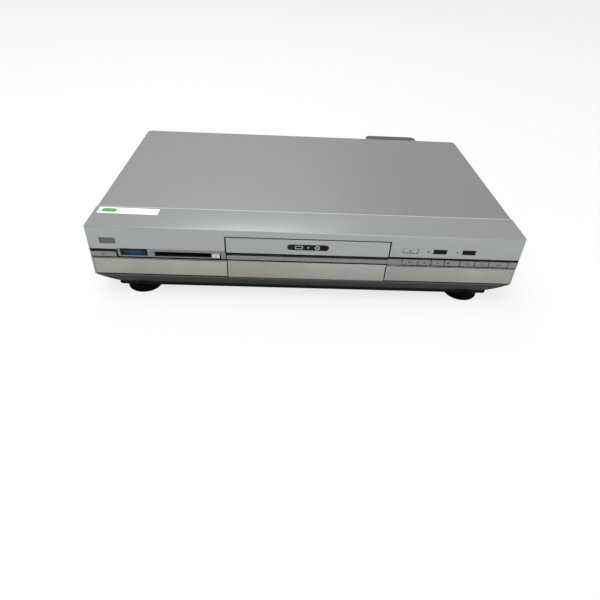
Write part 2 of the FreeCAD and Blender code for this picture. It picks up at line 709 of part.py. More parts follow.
def chin_corners(y):
    """Room at both ends below the mirror band, where the chin's rounded corners pass."""
    near = END_X - CHIN_END_SLOPE - CHIN_BOTTOM_CORNER - CLEAR
    z = (0.0, CHIN_TOP)
    return [block((-END_X, -near), y, z), block((near, END_X), y, z)]


def display_z():
    """Height of the display's middle, which is the middle of the mirror band."""
    return middle(MIRROR_Z)


def front_jack_z():
    """Height of the front sockets' middle."""
    return display_z()


def card_slot_spans(extra):
    """Width and height of the card slot, widened by a gap."""
    x = (CARD_SLOT_LEFT - extra, CARD_SLOT_LEFT + CARD_SLOT_WIDTH + extra)
    z = (below(CARD_SLOT_DROP + CARD_SLOT_HEIGHT) - extra, below(CARD_SLOT_DROP) + extra)
    return x, z


def lower_trim():
    """Silver chin that curves in under the mirror band, with ends that slope inwards."""
    outer_steps = [band / CHIN_BANDS for band in range(CHIN_BANDS + 1)]
    outer = Part.makeLoft([chin_outline(step, 0.0) for step in outer_steps], True, True)
    past = CHIN_WALL / (CHIN_TOP - CHIN_BOTTOM)
    inner_steps = (-past, middle((0.0, 1.0)), 1 + past)
    inner = Part.makeLoft([chin_outline(step, CHIN_WALL) for step in inner_steps], True, True)
    rear_y = (FASCIA_REAR, FASCIA_REAR + CHIN_END_SLOPE)
    rear = block((-END_X, END_X), rear_y, (CHIN_BOTTOM - SHEET, CHIN_TOP + SHEET))
    return cut(outer, [inner, rear])


def chin_outline(step, inset):
    """Plan outline of the chin, moved in by inset; step 0 is its top and step 1 its bottom."""
    x = END_X - CHIN_END_SLOPE * step - inset
    y = FRONT_Y + CHIN_SETBACK * step ** 2 + inset
    z = CHIN_TOP - CLEAR / 2 - (CHIN_TOP - CHIN_BOTTOM) * step
    rear = FASCIA_REAR + CHIN_WALL
    radius = max(CHIN_TOP_CORNER + (CHIN_BOTTOM_CORNER - CHIN_TOP_CORNER) * step - inset, CLEAR)
    diagonal = radius * (1 - math.cos(math.pi / 4))
    left_arc = Part.Arc(V(-x, y + radius, z), V(-x + diagonal, y + diagonal, z), V(-x + radius, y, z))
    right_arc = Part.Arc(V(x - radius, y, z), V(x - diagonal, y + diagonal, z), V(x, y + radius, z))
    edges = [Part.LineSegment(V(-x, rear, z), V(-x, y + radius, z)), left_arc,
             Part.LineSegment(V(-x + radius, y, z), V(x - radius, y, z)), right_arc,
             Part.LineSegment(V(x, y + radius, z), V(x, rear, z)),
             Part.LineSegment(V(x, rear, z), V(-x, rear, z))]
    return Part.Wire([edge.toShape() for edge in edges])


def key_row_trims():
    """Fixed strip under the tray door and the two blank ends of the key row."""
    spans = [(-WINDOW_X, DOOR_X), (DOOR_X + SEAM, ROW_KEYS_LEFT - SEAM / 2)]
    spans.append((row_key_spans()[-1][1] + SEAM / 2, END_X - SEAM))
    pieces = []
    for x in spans:
        face = block(x, (FRONT_Y, behind(FASCIA_WALL)), ROW_Z)
        half = min((x[1] - x[0]) / 2 - CHEEK - SHEET, WINDOW_X / 2)
        pad_z = (ROW_Z[0] + SHEET, ROW_Z[1] - SHEET)
        pad = block(around(middle(x), half), (behind(FASCIA_WALL), FRAME_Y), pad_z)
        pieces.append(join([face, pad]))
    return Part.makeCompound(pieces)


def card_bezel():
    """Grey recessed band that frames the memory card door and the card slot."""
    y = (behind(BAND_SETBACK), behind(BAND_SETBACK + BAND_WALL))
    x = (BAND_LEFT + SEAM, BAND_RIGHT)
    face = block(x, y, BAND_Z)
    pads = [block(span, (y[1], FRAME_Y), (BAND_Z[0], BAND_Z[0] + SHEET)) for span in
            ((x[0], x[0] + FRAME_WALL), (CARD_SLOT_LEFT - 2 * FRAME_WALL, CARD_SLOT_LEFT - FRAME_WALL))]
    pads.append(block((x[1] - FRAME_WALL, x[1]), (y[1], FRAME_Y), BAND_Z))
    door_x = around(MEMORY_DOOR_CENTRE, MEMORY_DOOR_WIDTH / 2 + CLEAR)
    door_z = (below(MEMORY_DOOR_DROP + MEMORY_DOOR_HEIGHT) - CLEAR, below(MEMORY_DOOR_DROP) + CLEAR)
    through = (y[0] - BAND_WALL, y[1] + BAND_WALL)
    slot = card_slot_spans(0.0)
    tools = [block(door_x, through, door_z), block(slot[0], through, slot[1])]
    x_eject, z_eject = eject_key_spans()
    eject_z = (z_eject[0] - SEAM, z_eject[1] + SEAM)
    tools.append(block((x_eject[0] - SEAM, x_eject[1] + SEAM), through, eject_z))
    return cut(join([face] + pads), tools)


def memory_card_door():
    """Blue door of the small card slot, hung on two pins along its top edge."""
    x = around(MEMORY_DOOR_CENTRE, MEMORY_DOOR_WIDTH / 2)
    y, z_axis = memory_door_axis()
    radius = MEMORY_DOOR_THICK / 2
    leaf = block(x, (y - radius, y + radius), (below(MEMORY_DOOR_DROP + MEMORY_DOOR_HEIGHT), z_axis))
    return join([leaf, rod(radius, (x[0], y, z_axis), (x[1], y, z_axis))])


def memory_door_axis():
    """Y and Z of the memory card door's hinge line."""
    return behind(BAND_SETBACK + MEMORY_DOOR_THICK / 2), below(MEMORY_DOOR_DROP) - MEMORY_DOOR_THICK / 2


def flap_axis():
    """Y and Z of the mirror flaps' hinge line, low in the band."""
    return behind(FLAP_THICK / 2), MIRROR_Z[0] + FLAP_THICK / 2


def mirror_flap(side):
    """Drop-down mirror flap with a rounded foot and a pin at each end."""
    y, z = flap_axis()
    near, far = WINDOW_X + SEAM, MIRROR_END
    x = sorted((side * near, side * far))
    leaf = block(x, (FRONT_Y, behind(FLAP_THICK)), (z, MIRROR_Z[1]))
    foot = rod(FLAP_THICK / 2, (x[0], y, z), (x[1], y, z))
    pins = rod(FLAP_PIN, (x[0] - FLAP_PIN_LENGTH, y, z), (x[1] + FLAP_PIN_LENGTH, y, z), SMALL_SIDES)
    return join([leaf, foot, pins])


def display_window():
    """Fixed half-mirror in front of the display, stood off the inner frame by its rim."""
    y, z = flap_axis()
    pane = block((-WINDOW_X, WINDOW_X), (FRONT_Y, behind(FLAP_THICK)), MIRROR_Z)
    rim = block((-WINDOW_X, WINDOW_X), (behind(FLAP_THICK), FRAME_Y), MIRROR_Z)
    hollow_x = around(0, DISPLAY_WIDTH / 2 + DISPLAY_THICK)
    hollow = block(hollow_x, (behind(FLAP_THICK), FRAME_Y), around(display_z(), DISPLAY_HEIGHT / 2 + CLEAR))
    radius = FLAP_PIN + RUN_FIT
    left = bore(radius, (-WINDOW_X - SEAM, y, z), (-WINDOW_X + FLAP_PIN_LENGTH, y, z), PIN_SIDES)
    right = bore(radius, (WINDOW_X - FLAP_PIN_LENGTH, y, z), (WINDOW_X + SEAM, y, z), PIN_SIDES)
    return cut(join([pane, rim]), [hollow, left, right])


def display_module():
    """Fluorescent display in its glass, against the switch board."""
    return block(around(0, DISPLAY_WIDTH / 2), (BOARD_Y - DISPLAY_THICK, BOARD_Y),
                 around(display_z(), DISPLAY_HEIGHT / 2))


def row_key_spans():
    """Left and right ends of the keys in the row, with a seam between neighbours."""
    spans = []
    left = ROW_KEYS_LEFT
    for width in ROW_KEY_WIDTHS:
        spans.append((left + SEAM / 2, left + width - SEAM / 2))
        left += width
    return spans


def upper_keys():
    """Spans of the three keys in the upper panel."""
    z = (below(UPPER_KEY_DROP + UPPER_KEY_HEIGHT), below(UPPER_KEY_DROP))
    spans = {"open_close_key": ((OPEN_KEY_LEFT, OPEN_KEY_LEFT + OPEN_KEY_WIDTH), z)}
    for name, left in zip(("left_select_key", "right_select_key"), SELECT_KEY_LEFTS):
        spans[name] = ((left, left + SELECT_KEY_WIDTH), z)
    return spans


def eject_key_spans():
    """Spans of the card eject key, beside the card slot."""
    x = (EJECT_KEY_LEFT, EJECT_KEY_LEFT + EJECT_KEY_WIDTH)
    return x, (BAND_Z[0] + SEAM, BAND_Z[0] + SEAM + EJECT_KEY_HEIGHT)


def power_key_spans():
    """Spans of the power key, which reaches the left end of the front."""
    x = (-END_X + SEAM, -END_X + SEAM + POWER_KEY_WIDTH)
    return x, (ROW_Z[0], ROW_Z[0] + POWER_KEY_HEIGHT)


def all_keys():
    """Width and height spans of every key, by name."""
    keys = {"power_key": power_key_spans(), "card_eject_key": eject_key_spans()}
    keys.update(upper_keys())
    names = ("programme_key", "stop_key", "play_key", "record_key", "pause_key", "timer_key", "playback_key")
    keys.update({name: (x, ROW_Z) for name, x in zip(names, row_key_spans())})
    return keys


def key_centres():
    """Middle of every key, where its stem passes the inner frame and meets its switch."""
    return {name: (middle(x), middle(z)) for name, (x, z) in all_keys().items()}


def key(name):
    """Key cap with bevelled front edges and a stem that reaches back to its switch."""
    x, z = all_keys()[name]
    front = behind(BAND_SETBACK) if name == "card_eject_key" else FRONT_Y
    cap = block(x, (front, behind(KEY_CAP)), z)
    face_edges = [edge for edge in cap.Edges if edge.BoundBox.YMax < front + TINY]
    cap = cap.makeChamfer(KEY_BEVEL, face_edges)
    centre_x, centre_z = key_centres()[name]
    stem_end = BOARD_Y - SWITCH_HEIGHT - SWITCH_PLUNGER - KEY_TRAVEL - CLEAR
    stem = block(around(centre_x, KEY_STEM_WIDTH / 2), (behind(KEY_CAP), stem_end),
                 around(centre_z, KEY_STEM_HEIGHT / 2))
    return join([cap, stem])


def switch_board():
    """Front circuit board with one push switch behind each key."""
    y = (BOARD_Y, BOARD_Y + BOARD_THICK)
    x_end = END_X - CHEEK - FASCIA_WALL - CLEAR
    low_top = RACK_Z[0] - 2 * TRAY_SIDE_GAP - CLEAR
    lower = block((-x_end, x_end), y, (PAN_TOP, low_top))
    upper_x = (OPEN_KEY_LEFT - SWITCH_BODY / 2, SELECT_KEY_LEFTS[-1] + SELECT_KEY_WIDTH + SWITCH_BODY / 2)
    upper = block(upper_x, y, (low_top, below(UPPER_KEY_DROP - SWITCH_BODY / 2)))
    slot_x, slot_z = card_slot_spans(CARD_CAGE_WALL + CLEAR)
    through = (y[0] - SHEET, y[1] + SHEET)
    reader = block((reader_left() - CLEAR, slot_x[1]), through, (slot_z[0] - CARD_CAGE_WALL, HEIGHT))
    board = cut(join([lower, upper]), [reader] + chin_corners(through))
    return join([board] + [push_switch(x, z) for x, z in key_centres().values()])


def push_switch(x, z):
    """Square push switch with a round plunger, on the front of the board."""
    half = SWITCH_BODY / 2 - SHEET
    body = block(around(x, half), (BOARD_Y - SWITCH_HEIGHT, BOARD_Y), around(z, half))
    tip = BOARD_Y - SWITCH_HEIGHT - SWITCH_PLUNGER
    plunger = block(around(x, half / 2), (tip, BOARD_Y - SWITCH_HEIGHT), around(z, half / 2))
    return join([body, plunger])


def reader_left():
    """Left end of the card reader's cage."""
    return MEMORY_DOOR_CENTRE - MEMORY_DOOR_WIDTH / 2 - CARD_CAGE_WALL


def card_reader():
    """Steel card cage: an open sleeve behind the card slot, a pocket behind the door, and two legs."""
    slot_x, slot_z = card_slot_spans(0.0)
    wall = CARD_CAGE_WALL
    y = (FRAME_REAR, FRAME_REAR + CARD_SLOT_LENGTH)
    sleeve = block((slot_x[0] - wall, slot_x[1] + wall), y, (slot_z[0] - wall, slot_z[1] + wall))
    slot_room = block(slot_x, (y[0] - wall, y[1] - wall), slot_z)
    pocket_y = (FRAME_REAR + MEMORY_DOOR_HEIGHT, FRAME_REAR + CARD_SLOT_LENGTH / 2)
    pocket = block((reader_left(), slot_x[0] - wall), pocket_y, (slot_z[0] - wall, slot_z[1] + wall))
    card_x = around(MEMORY_DOOR_CENTRE, MEMORY_DOOR_WIDTH / 2 - SHEET)
    card_z = around(middle(slot_z), SHEET + wall / 2)
    pocket_room = block(card_x, (pocket_y[0] - wall, pocket_y[1] - wall), card_z)
    legs = []
    for x in (reader_left(), slot_x[1] + wall - BRACKET_FOOT):
        leg_x = (x, x + BRACKET_FOOT)
        rear_y = pocket_y[1]
        legs.append(block(leg_x, (rear_y - BRACKET_SHEET, rear_y), (PAN_TOP, slot_z[0] - wall)))
    return cut(join([sleeve, pocket] + legs), [slot_room, pocket_room])


def front_jacks():
    """Three phono sockets, a round video socket and a small link socket behind the flaps."""
    y_front = behind(FLAP_THICK + SEAM)
    z = front_jack_z()
    pieces = []
    for x in FRONT_JACK_XS:
        body = block(around(x, JACK_RADIUS + SHEET), (FRAME_REAR, BOARD_Y), around(z, JACK_RADIUS + SHEET))
        barrel = level(JACK_RADIUS, x, z, (y_front, FRAME_REAR), SMALL_SIDES)
        socket = level_bore(JACK_BORE, x, z, (y_front - SEAM, FRAME_REAR + SHEET), PIN_SIDES)
        pieces.append(cut(join([body, barrel]), [socket]))
    link_x = around(LINK_SOCKET_X, LINK_SOCKET_WIDTH / 2)
    link = block(link_x, (y_front, BOARD_Y), around(z, LINK_SOCKET_HEIGHT / 2))
    mouth = block(around(LINK_SOCKET_X, LINK_SOCKET_WIDTH / 2 - SHEET), (y_front - SEAM, FRAME_REAR),
                  around(z, LINK_SOCKET_HEIGHT / 2 - SHEET))
    pieces.append(cut(link, [mouth]))
    return Part.makeCompound(pieces)


def tray_door():
    """Flat front of the disc tray with a raised rim on its back."""
    face = block((-DOOR_X, DOOR_X), (FRONT_Y, behind(FASCIA_WALL)), DOOR_Z)
    edges = [edge for edge in face.Edges if edge.BoundBox.YMax < FRONT_Y + TINY]
    face = face.makeChamfer(KEY_BEVEL, edges)
    rim_z = (DOOR_Z[0] + SHEET, DOOR_Z[1] - SHEET)
    rim = block(around(0, DOOR_X - SHEET), (behind(FASCIA_WALL), TRAY_Y), rim_z)
    hollow_x = around(0, DOOR_X - SHEET - FASCIA_WALL)
    hollow_y = (behind(FASCIA_WALL), TRAY_Y + SHEET)
    above = block(hollow_x, hollow_y, (TRAY_TOP, rim_z[1] - FASCIA_WALL))
    under = block(hollow_x, hollow_y, (rim_z[0] + FASCIA_WALL, TRAY_BOTTOM))
    return cut(join([face, rim]), [above, under])


def disc_tray():
    """Disc tray with wells for both disc sizes, an open keyhole, side runners and the rack."""
    y = (TRAY_Y, TRAY_Y + TRAY_LENGTH)
    body = block((-TRAY_X, TRAY_X), y, (TRAY_BOTTOM, TRAY_TOP))
    runners = [block(sorted((side * TRAY_X, side * RUNNER_X)), (FRAME_REAR + CLEAR, y[1]), RUNNER_Z)
               for side in (-1, 1)]
    floor = TRAY_TOP - DISC_WELL_DEPTH
    past_top = TRAY_TOP + SHEET
    well = upright_bore(DISC_WELL_RADIUS, 0, DISC_Y, (floor, past_top), WELL_SIDES)
    small = upright_bore(SMALL_WELL_RADIUS, 0, DISC_Y, (floor - SMALL_WELL_DEPTH, past_top), WELL_SIDES)
    through = (TRAY_BOTTOM - SHEET, past_top)
    keyhole = [upright(KEYHOLE_HALF, 0, DISC_Y, through, TURNED_SIDES),
               block(around(0, KEYHOLE_HALF), (DISC_Y, y[1] + SHEET), through)]
    tray = cut(join([body] + runners), [well, small] + keyhole + finger_notches() + underside_pockets())
    return join([tray, rack()])


def finger_notches():
    """Round dips in the well's rim at both sides of the front, where fingers lift a disc."""
    tools = []
    for side in (-1, 1):
        x = side * NOTCH_SHARE * DISC_WELL_RADIUS
        y = DISC_Y - NOTCH_SHARE * DISC_WELL_RADIUS
        tools.append(upright(TRAY_LIP, x, y, (TRAY_TOP - DISC_WELL_DEPTH, TRAY_TOP + SHEET), SMALL_SIDES))
    return tools


def underside_pockets():
    """Pockets that leave the rear corners of the tray as thin walls."""
    tools = []
    y = (DISC_Y + DISC_WELL_RADIUS + RACK_SPINE, TRAY_Y + TRAY_LENGTH - RACK_SPINE)
    z = (TRAY_BOTTOM - SHEET, TRAY_TOP - FRAME_WALL)
    right_x = (KEYHOLE_HALF + RACK_SPINE, TRAY_X - RACK_SPINE)
    tools.append(block(right_x, y, z))
    left_x = (RACK_ROOT + 2 * RACK_SPINE, -KEYHOLE_HALF - RACK_SPINE)
    tools.append(block(left_x, y, z))
    return tools


def tooth_profile(depth_half, tip_half, length):
    """Half widths of a straight-sided tooth at its root and tip, along its length."""
    return [(0.0, -depth_half), (length, -tip_half), (length, tip_half), (0.0, depth_half)]


def rack():
    """Toothed rail under the left edge of the tray, in mesh with the pinion."""
    pitch = math.pi * GEAR_MODULE
    tooth = ADDENDUM + DEDENDUM
    start = TRAY_Y + RACK_SPINE
    end = TRAY_Y + TRAY_LENGTH - CLEAR
    spine = block((RACK_BACK, RACK_ROOT), (start, end), RACK_Z)
    tan = math.tan(math.radians(PRESSURE_ANGLE))
    half = pitch / 4 - RUN_FIT
    root, tip = half + DEDENDUM * tan, half - ADDENDUM * tan
    first = math.ceil((start + root - GEAR_Y) / pitch)
    last = math.floor((end - root - GEAR_Y) / pitch)
    teeth = []
    for index in range(first, last + 1):
        y = GEAR_Y + index * pitch
        outline = [V(RACK_ROOT + dx, y + dy, RACK_Z[0]) for dx, dy in tooth_profile(root, tip, tooth)]
        outline.append(outline[0])
        teeth.append(Part.Face(Part.makePolygon(outline)).extrude(V(0, 0, RACK_Z[1] - RACK_Z[0])))
    return join([spine] + teeth)


def loading_gear():
    """Belt pulley and rack pinion in one moulding, turning on the drive frame's post."""
    pulley = flanged_pulley(PULLEY_RADIUS, GEAR_X, GEAR_Y)
    pinion = pinion_teeth()
    through = (PULLEY_Z[0] - SHEET, PINION_Z[1] + SHEET)
    hole = upright_bore(GEAR_POST + RUN_FIT, GEAR_X, GEAR_Y, through, SMALL_SIDES)
    neck_z = (PULLEY_Z[1], PINION_Z[0])
    neck = upright(PITCH_RADIUS - DEDENDUM, GEAR_X, GEAR_Y, neck_z, SMALL_SIDES)
    return cut(join([pulley, neck, pinion]), [hole])


def flanged_pulley(radius, x, y):
    """Flat pulley on a thin flange that keeps the belt up."""
    drum = upright(radius, x, y, PULLEY_Z, TURNED_SIDES)
    flange_z = (PULLEY_Z[0], PULLEY_Z[0] + PULLEY_RIM)
    return join([drum, upright(radius + PULLEY_FLANGE, x, y, flange_z, TURNED_SIDES)])


def pinion_teeth():
    """Pinion with straight-sided teeth, a gap facing each rack tooth at rest."""
    tan = math.tan(math.radians(PRESSURE_ANGLE))
    half = math.pi * GEAR_MODULE / 4 - RUN_FIT
    root_radius = PITCH_RADIUS - DEDENDUM
    tooth = ADDENDUM + DEDENDUM - 2 * RUN_FIT
    step = 2 * math.pi / PINION_TEETH
    core = upright(root_radius, GEAR_X, GEAR_Y, PINION_Z, PINION_TEETH)
    inside = root_radius - DEDENDUM / 2
    solids = [core]
    for index in range(PINION_TEETH):
        angle = math.pi + step / 2 + index * step
        along = V(math.cos(angle), math.sin(angle), 0)
        across = V(-along.y, along.x, 0)
        centre = V(GEAR_X, GEAR_Y, PINION_Z[0])
        tip_half = half - TIP_THINNING * ADDENDUM * tan
        stations = [(inside, half), (PITCH_RADIUS, half), (root_radius + tooth, tip_half)]
        outline = [centre + along * r + across * w for r, w in stations]
        outline += [centre + along * r - across * w for r, w in reversed(stations)]
        outline.append(outline[0])
        solids.append(Part.Face(Part.makePolygon(outline)).extrude(V(0, 0, PINION_HEIGHT)))
    return join(solids)


def motor_pulley():
    """Small belt pulley with the loading motor's shaft."""
    x, y = LOADING_MOTOR_X, LOADING_MOTOR_Y
    shaft = upright(MOTOR_SHAFT, x, y, (DRIVE_FLOOR_TOP + FRAME_WALL, PULLEY_Z[1]), SMALL_SIDES)
    return join([flanged_pulley(MOTOR_PULLEY_RADIUS, x, y), shaft])


def loading_motor():
    """Small round motor on the drive floor, with a bore for its shaft."""
    x, y = LOADING_MOTOR_X, LOADING_MOTOR_Y
    body = upright(LOADING_MOTOR_RADIUS, x, y, (DRIVE_FLOOR_TOP, PULLEY_Z[0] - CLEAR), TURNED_SIDES)
    hole_z = (DRIVE_FLOOR_TOP + FRAME_WALL - CLEAR, PULLEY_Z[0])
    hole = upright_bore(MOTOR_SHAFT + RUN_FIT, x, y, hole_z, PIN_SIDES)
    return cut(body, [hole])


def drive_belt():
    """Flat belt round both pulleys."""
    inner = belt_loop(BELT_GAP)
    outer = belt_loop(BELT_GAP + BELT_THICK)
    return outer.cut(inner)


def belt_loop(offset):
    """Solid inside a belt line that lies an offset outside both pulleys, with flats round each pulley."""
    low = PULLEY_Z[0] + PULLEY_RIM + BELT_GAP
    height = PULLEY_HEIGHT - PULLEY_RIM - 2 * BELT_GAP
    gear, motor = V(GEAR_X, GEAR_Y, low), V(LOADING_MOTOR_X, LOADING_MOTOR_Y, low)
    line = motor - gear
    lean = math.acos((PULLEY_RADIUS - MOTOR_PULLEY_RADIUS) / line.Length)
    base = math.atan2(line.y, line.x)
    far = base + 2 * math.pi
    corners = belt_turn(gear, PULLEY_RADIUS + offset, base + lean, far - lean)
    corners += belt_turn(motor, MOTOR_PULLEY_RADIUS + offset, base - lean, base + lean)
    return Part.Face(Part.makePolygon(corners + corners[:1])).extrude(V(0, 0, height))


def belt_turn(centre, radius, first, last):
    """Corners of the belt line round one pulley, on flats that stay outside its round."""
    half_step = (last - first) / BELT_FLATS / 2
    corners = []
    for index in range(BELT_FLATS):
        angle = first + (2 * index + 1) * half_step
        reach = radius / math.cos(half_step)
        corners.append(centre + V(reach * math.cos(angle), reach * math.sin(angle), 0))
    return corners


def drive_frame():
    """Moulded drive chassis: floor, walls with tray guides, legs, and posts for the deck and the gear."""
    floor = block((-DRIVE_X, DRIVE_X), DRIVE_Y, (DRIVE_FLOOR, DRIVE_FLOOR_TOP))
    low_top = RACK_Z[0] - TRAY_SIDE_GAP
    front = block((-DRIVE_X, DRIVE_X), (DRIVE_Y[0], DRIVE_Y[0] + DRIVE_WALL), (DRIVE_FLOOR, low_top))
    rear = block((-DRIVE_X, DRIVE_X), (DRIVE_Y[1] - DRIVE_WALL, DRIVE_Y[1]), (DRIVE_FLOOR, DRIVE_WALL_TOP))
    pieces = [floor, front, rear]
    for side in (-1, 1):
        pieces += side_wall(side)
    pieces += [block(x, y, (PAN_TOP, DRIVE_FLOOR)) for x, y in leg_spans()]
    post_z = (DRIVE_FLOOR_TOP, PINION_Z[1])
    shoulder_z = (DRIVE_FLOOR_TOP, PULLEY_Z[0] - CLEAR)
    pieces.append(upright(GEAR_POST, GEAR_X, GEAR_Y, post_z, SMALL_SIDES))
    pieces.append(upright(GEAR_POST + SHEET, GEAR_X, GEAR_Y, shoulder_z, PIN_SIDES))
    pieces += guide_posts()
    return join(pieces)


def leg_spans():
    """Plan spans of the drive's four legs, which stand on the pan."""
    xs = ((-DRIVE_X, -DRIVE_X + DRIVE_LEG), (DRIVE_X - DRIVE_LEG, DRIVE_X))
    ys = ((DRIVE_Y[0], DRIVE_Y[0] + DRIVE_LEG), (DRIVE_Y[1] - DRIVE_LEG, DRIVE_Y[1]))
    return [(x, y) for x in xs for y in ys]


def side_wall(side):
    """Side wall of the drive with a guide rib under and over the tray's runner."""
    inner, outer = DRIVE_X - DRIVE_WALL, DRIVE_X
    wall = block(sorted((side * inner, side * outer)), DRIVE_Y, (DRIVE_FLOOR, DRIVE_WALL_TOP))
    rib_x = sorted((side * (TRAY_X + TRAY_SIDE_GAP), side * inner))
    lower = block(rib_x, DRIVE_Y, (RUNNER_Z[0] - CLEAR - FRAME_WALL, RUNNER_Z[0] - CLEAR))
    upper = block(rib_x, DRIVE_Y, (RUNNER_Z[1] + CLEAR, RUNNER_Z[1] + CLEAR + FRAME_WALL))
    return [wall, lower, upper]


def guide_places():
    """Plan positions of the four posts that the deck slides on."""
    ys = (DECK_Y[0] + GUIDE_INSET, DECK_Y[1] - GUIDE_INSET)
    return [(x, y) for x in (-GUIDE_X, GUIDE_X) for y in ys]


def guide_posts():
    """Posts on the drive floor, each with a shoulder that the lowered deck rests on."""
    posts = []
    post_z = (DRIVE_FLOOR_TOP, DECK_Z[1] + DECK_LIFT + SHEET)
    shoulder_z = (DRIVE_FLOOR_TOP, DECK_Z[0] - CLEAR)
    for x, y in guide_places():
        posts.append(upright(GUIDE_POST, x, y, post_z, SMALL_SIDES))
        posts.append(upright(GUIDE_POST + SHEET, x, y, shoulder_z, PIN_SIDES))
    return posts


def traverse_deck():
    """Steel lifting deck with a motor hole, a pickup window, post holes and ears for the rods."""
    plate = block((-DECK_HALF, DECK_HALF), DECK_Y, DECK_Z)
    through = (DECK_Z[0] - SHEET, DECK_Z[1] + SHEET)
    tools = [upright_bore(SPINDLE_MOTOR_RADIUS + RUN_FIT, 0, DISC_Y, through, TURNED_SIDES)]
    window_x = around(0, ROD_X - 2 * ROD_RADIUS)
    tools.append(block(window_x, (EAR_FRONT_Y[1] + 3 * EAR_THICK, EAR_REAR_Y[0] - EAR_THICK), through))
    tools += [upright_bore(GUIDE_POST + CLEAR, x, y, through, PIN_SIDES) for x, y in guide_places()]
    ears = []
    for y in (EAR_FRONT_Y, EAR_REAR_Y):
        for x in (-ROD_X, ROD_X):
            ears.append(ear(x, y, ROD_RADIUS))
        ears.append(ear(SCREW_X, y, SCREW_RADIUS + RUN_FIT))
    return join([cut(plate, tools)] + ears)


def ear(x, y, radius):
    """Folded ear on the deck that holds the end of a rod or the screw."""
    half = 2 * ROD_RADIUS
    plate = block(around(x, half), y, (DECK_Z[1], ROD_Z + half))
    return cut(plate, [level_bore(radius, x, ROD_Z, (y[0] - SHEET, y[1] + SHEET), PIN_SIDES)])


def guide_rods():
    """Two polished rods that carry the pickup sled."""
    span = (EAR_FRONT_Y[0], EAR_REAR_Y[1])
    return Part.makeCompound([level(ROD_RADIUS, x, ROD_Z, span, SMALL_SIDES) for x in (-ROD_X, ROD_X)])


def pickup_sled():
    """Pickup sled on the rods, with its lens on top and a half nut beside the screw."""
    body = block((-SLED_HALF, SLED_HALF), SLED_Y, SLED_Z)
    lens_y = SLED_Y[0] + LENS_SHARE * SLED_LENGTH
    lens = upright(LENS_RADIUS, 0, lens_y, (SLED_Z[1], SLED_Z[1] + LENS_HEIGHT), TURNED_SIDES)
    cover_z = (SLED_Z[1], SLED_Z[1] + CLEAR)
    cover = block(around(0, 2 * LENS_RADIUS), around(lens_y, 2 * LENS_RADIUS), cover_z)
    nut_y = around(middle(SLED_Y), 2 * EAR_THICK)
    nut = block((SLED_HALF, SCREW_X), nut_y, SLED_Z)
    through = (SLED_Y[0] - SHEET, SLED_Y[1] + SHEET)
    tools = [level_bore(ROD_RADIUS + RUN_FIT, x, ROD_Z, through, PIN_SIDES) for x in (-ROD_X, ROD_X)]
    tools.append(level_bore(SCREW_RADIUS + RUN_FIT, SCREW_X, ROD_Z, through, PIN_SIDES))
    return cut(join([body, cover, lens, nut]), tools)


def lead_screw():
    """Feed screw between its two ears, run on into the feed motor."""
    end = EAR_REAR_Y[1] + CLEAR + FEED_MOTOR_LENGTH / 2
    return level(SCREW_RADIUS, SCREW_X, ROD_Z, (EAR_FRONT_Y[0], end), SMALL_SIDES)


def feed_motor():
    """Small feed motor on a saddle behind the rear ear."""
    y = (EAR_REAR_Y[1], EAR_REAR_Y[1] + FEED_MOTOR_LENGTH)
    body = level(FEED_MOTOR_RADIUS, SCREW_X, ROD_Z, y, SMALL_SIDES)
    saddle = block(around(SCREW_X, FEED_MOTOR_RADIUS), y, (DECK_Z[1], ROD_Z))
    hole_y = (y[0] - SHEET, y[1] - SHEET)
    hole = level_bore(SCREW_RADIUS + RUN_FIT, SCREW_X, ROD_Z, hole_y, PIN_SIDES)
    return cut(join([body, saddle]), [hole])


def spindle_motor():
    """Flat disc motor, held by its flange on top of the deck."""
    low = MOTOR_TOP - SPINDLE_MOTOR_HEIGHT
    body = upright(SPINDLE_MOTOR_RADIUS, 0, DISC_Y, (low, MOTOR_TOP), TURNED_SIDES)
    half = SPINDLE_MOTOR_RADIUS + SPINDLE_FLANGE
    flange = block((-half, half), (DISC_Y - half, EAR_FRONT_Y[0] - CLEAR), (DECK_Z[1], DECK_Z[1] + SHEET))
    hole_z = (low + SHEET, MOTOR_TOP + SHEET)
    hole = upright_bore(SPINDLE_SHAFT + RUN_FIT, 0, DISC_Y, hole_z, SMALL_SIDES)
    return cut(join([body, flange]), [hole])


def turntable():
    """Turntable with its centring cone and the motor's shaft."""
    low, seat = TURNTABLE_Z
    plate = upright(TURNTABLE_RADIUS, 0, DISC_Y, TURNTABLE_Z, TURNED_SIDES)
    cone = upright(CONE_RADIUS, 0, DISC_Y, (seat, seat + CONE_HEIGHT), TURNED_SIDES)
    rim = [edge for edge in cone.Edges if edge.BoundBox.ZMin > seat + CONE_HEIGHT - TINY]
    cone = cone.makeChamfer(CONE_HEIGHT / 2, rim)
    shaft_end = MOTOR_TOP - SPINDLE_MOTOR_HEIGHT + SHEET + CLEAR
    shaft = upright(SPINDLE_SHAFT, 0, DISC_Y, (shaft_end, low), SMALL_SIDES)
    return join([plate, cone, shaft])


def clamp_bridge():
    """Bridge over the tray that holds the disc clamp, with a foot on each wall of the drive."""
    y = around(DISC_Y, BRIDGE_HALF)
    plate = block((-DRIVE_X, DRIVE_X), y, BRIDGE_Z)
    seats = [block(sorted((side * (DRIVE_X - DRIVE_WALL), side * DRIVE_X)), y, (DRIVE_WALL_TOP, BRIDGE_Z[0]))
             for side in (-1, 1)]
    through = (BRIDGE_Z[0] - SHEET, BRIDGE_Z[1] + SHEET)
    hole = upright_bore(CLAMP_NECK + CLEAR, 0, DISC_Y, through, TURNED_SIDES)
    return cut(join([plate] + seats), [hole])


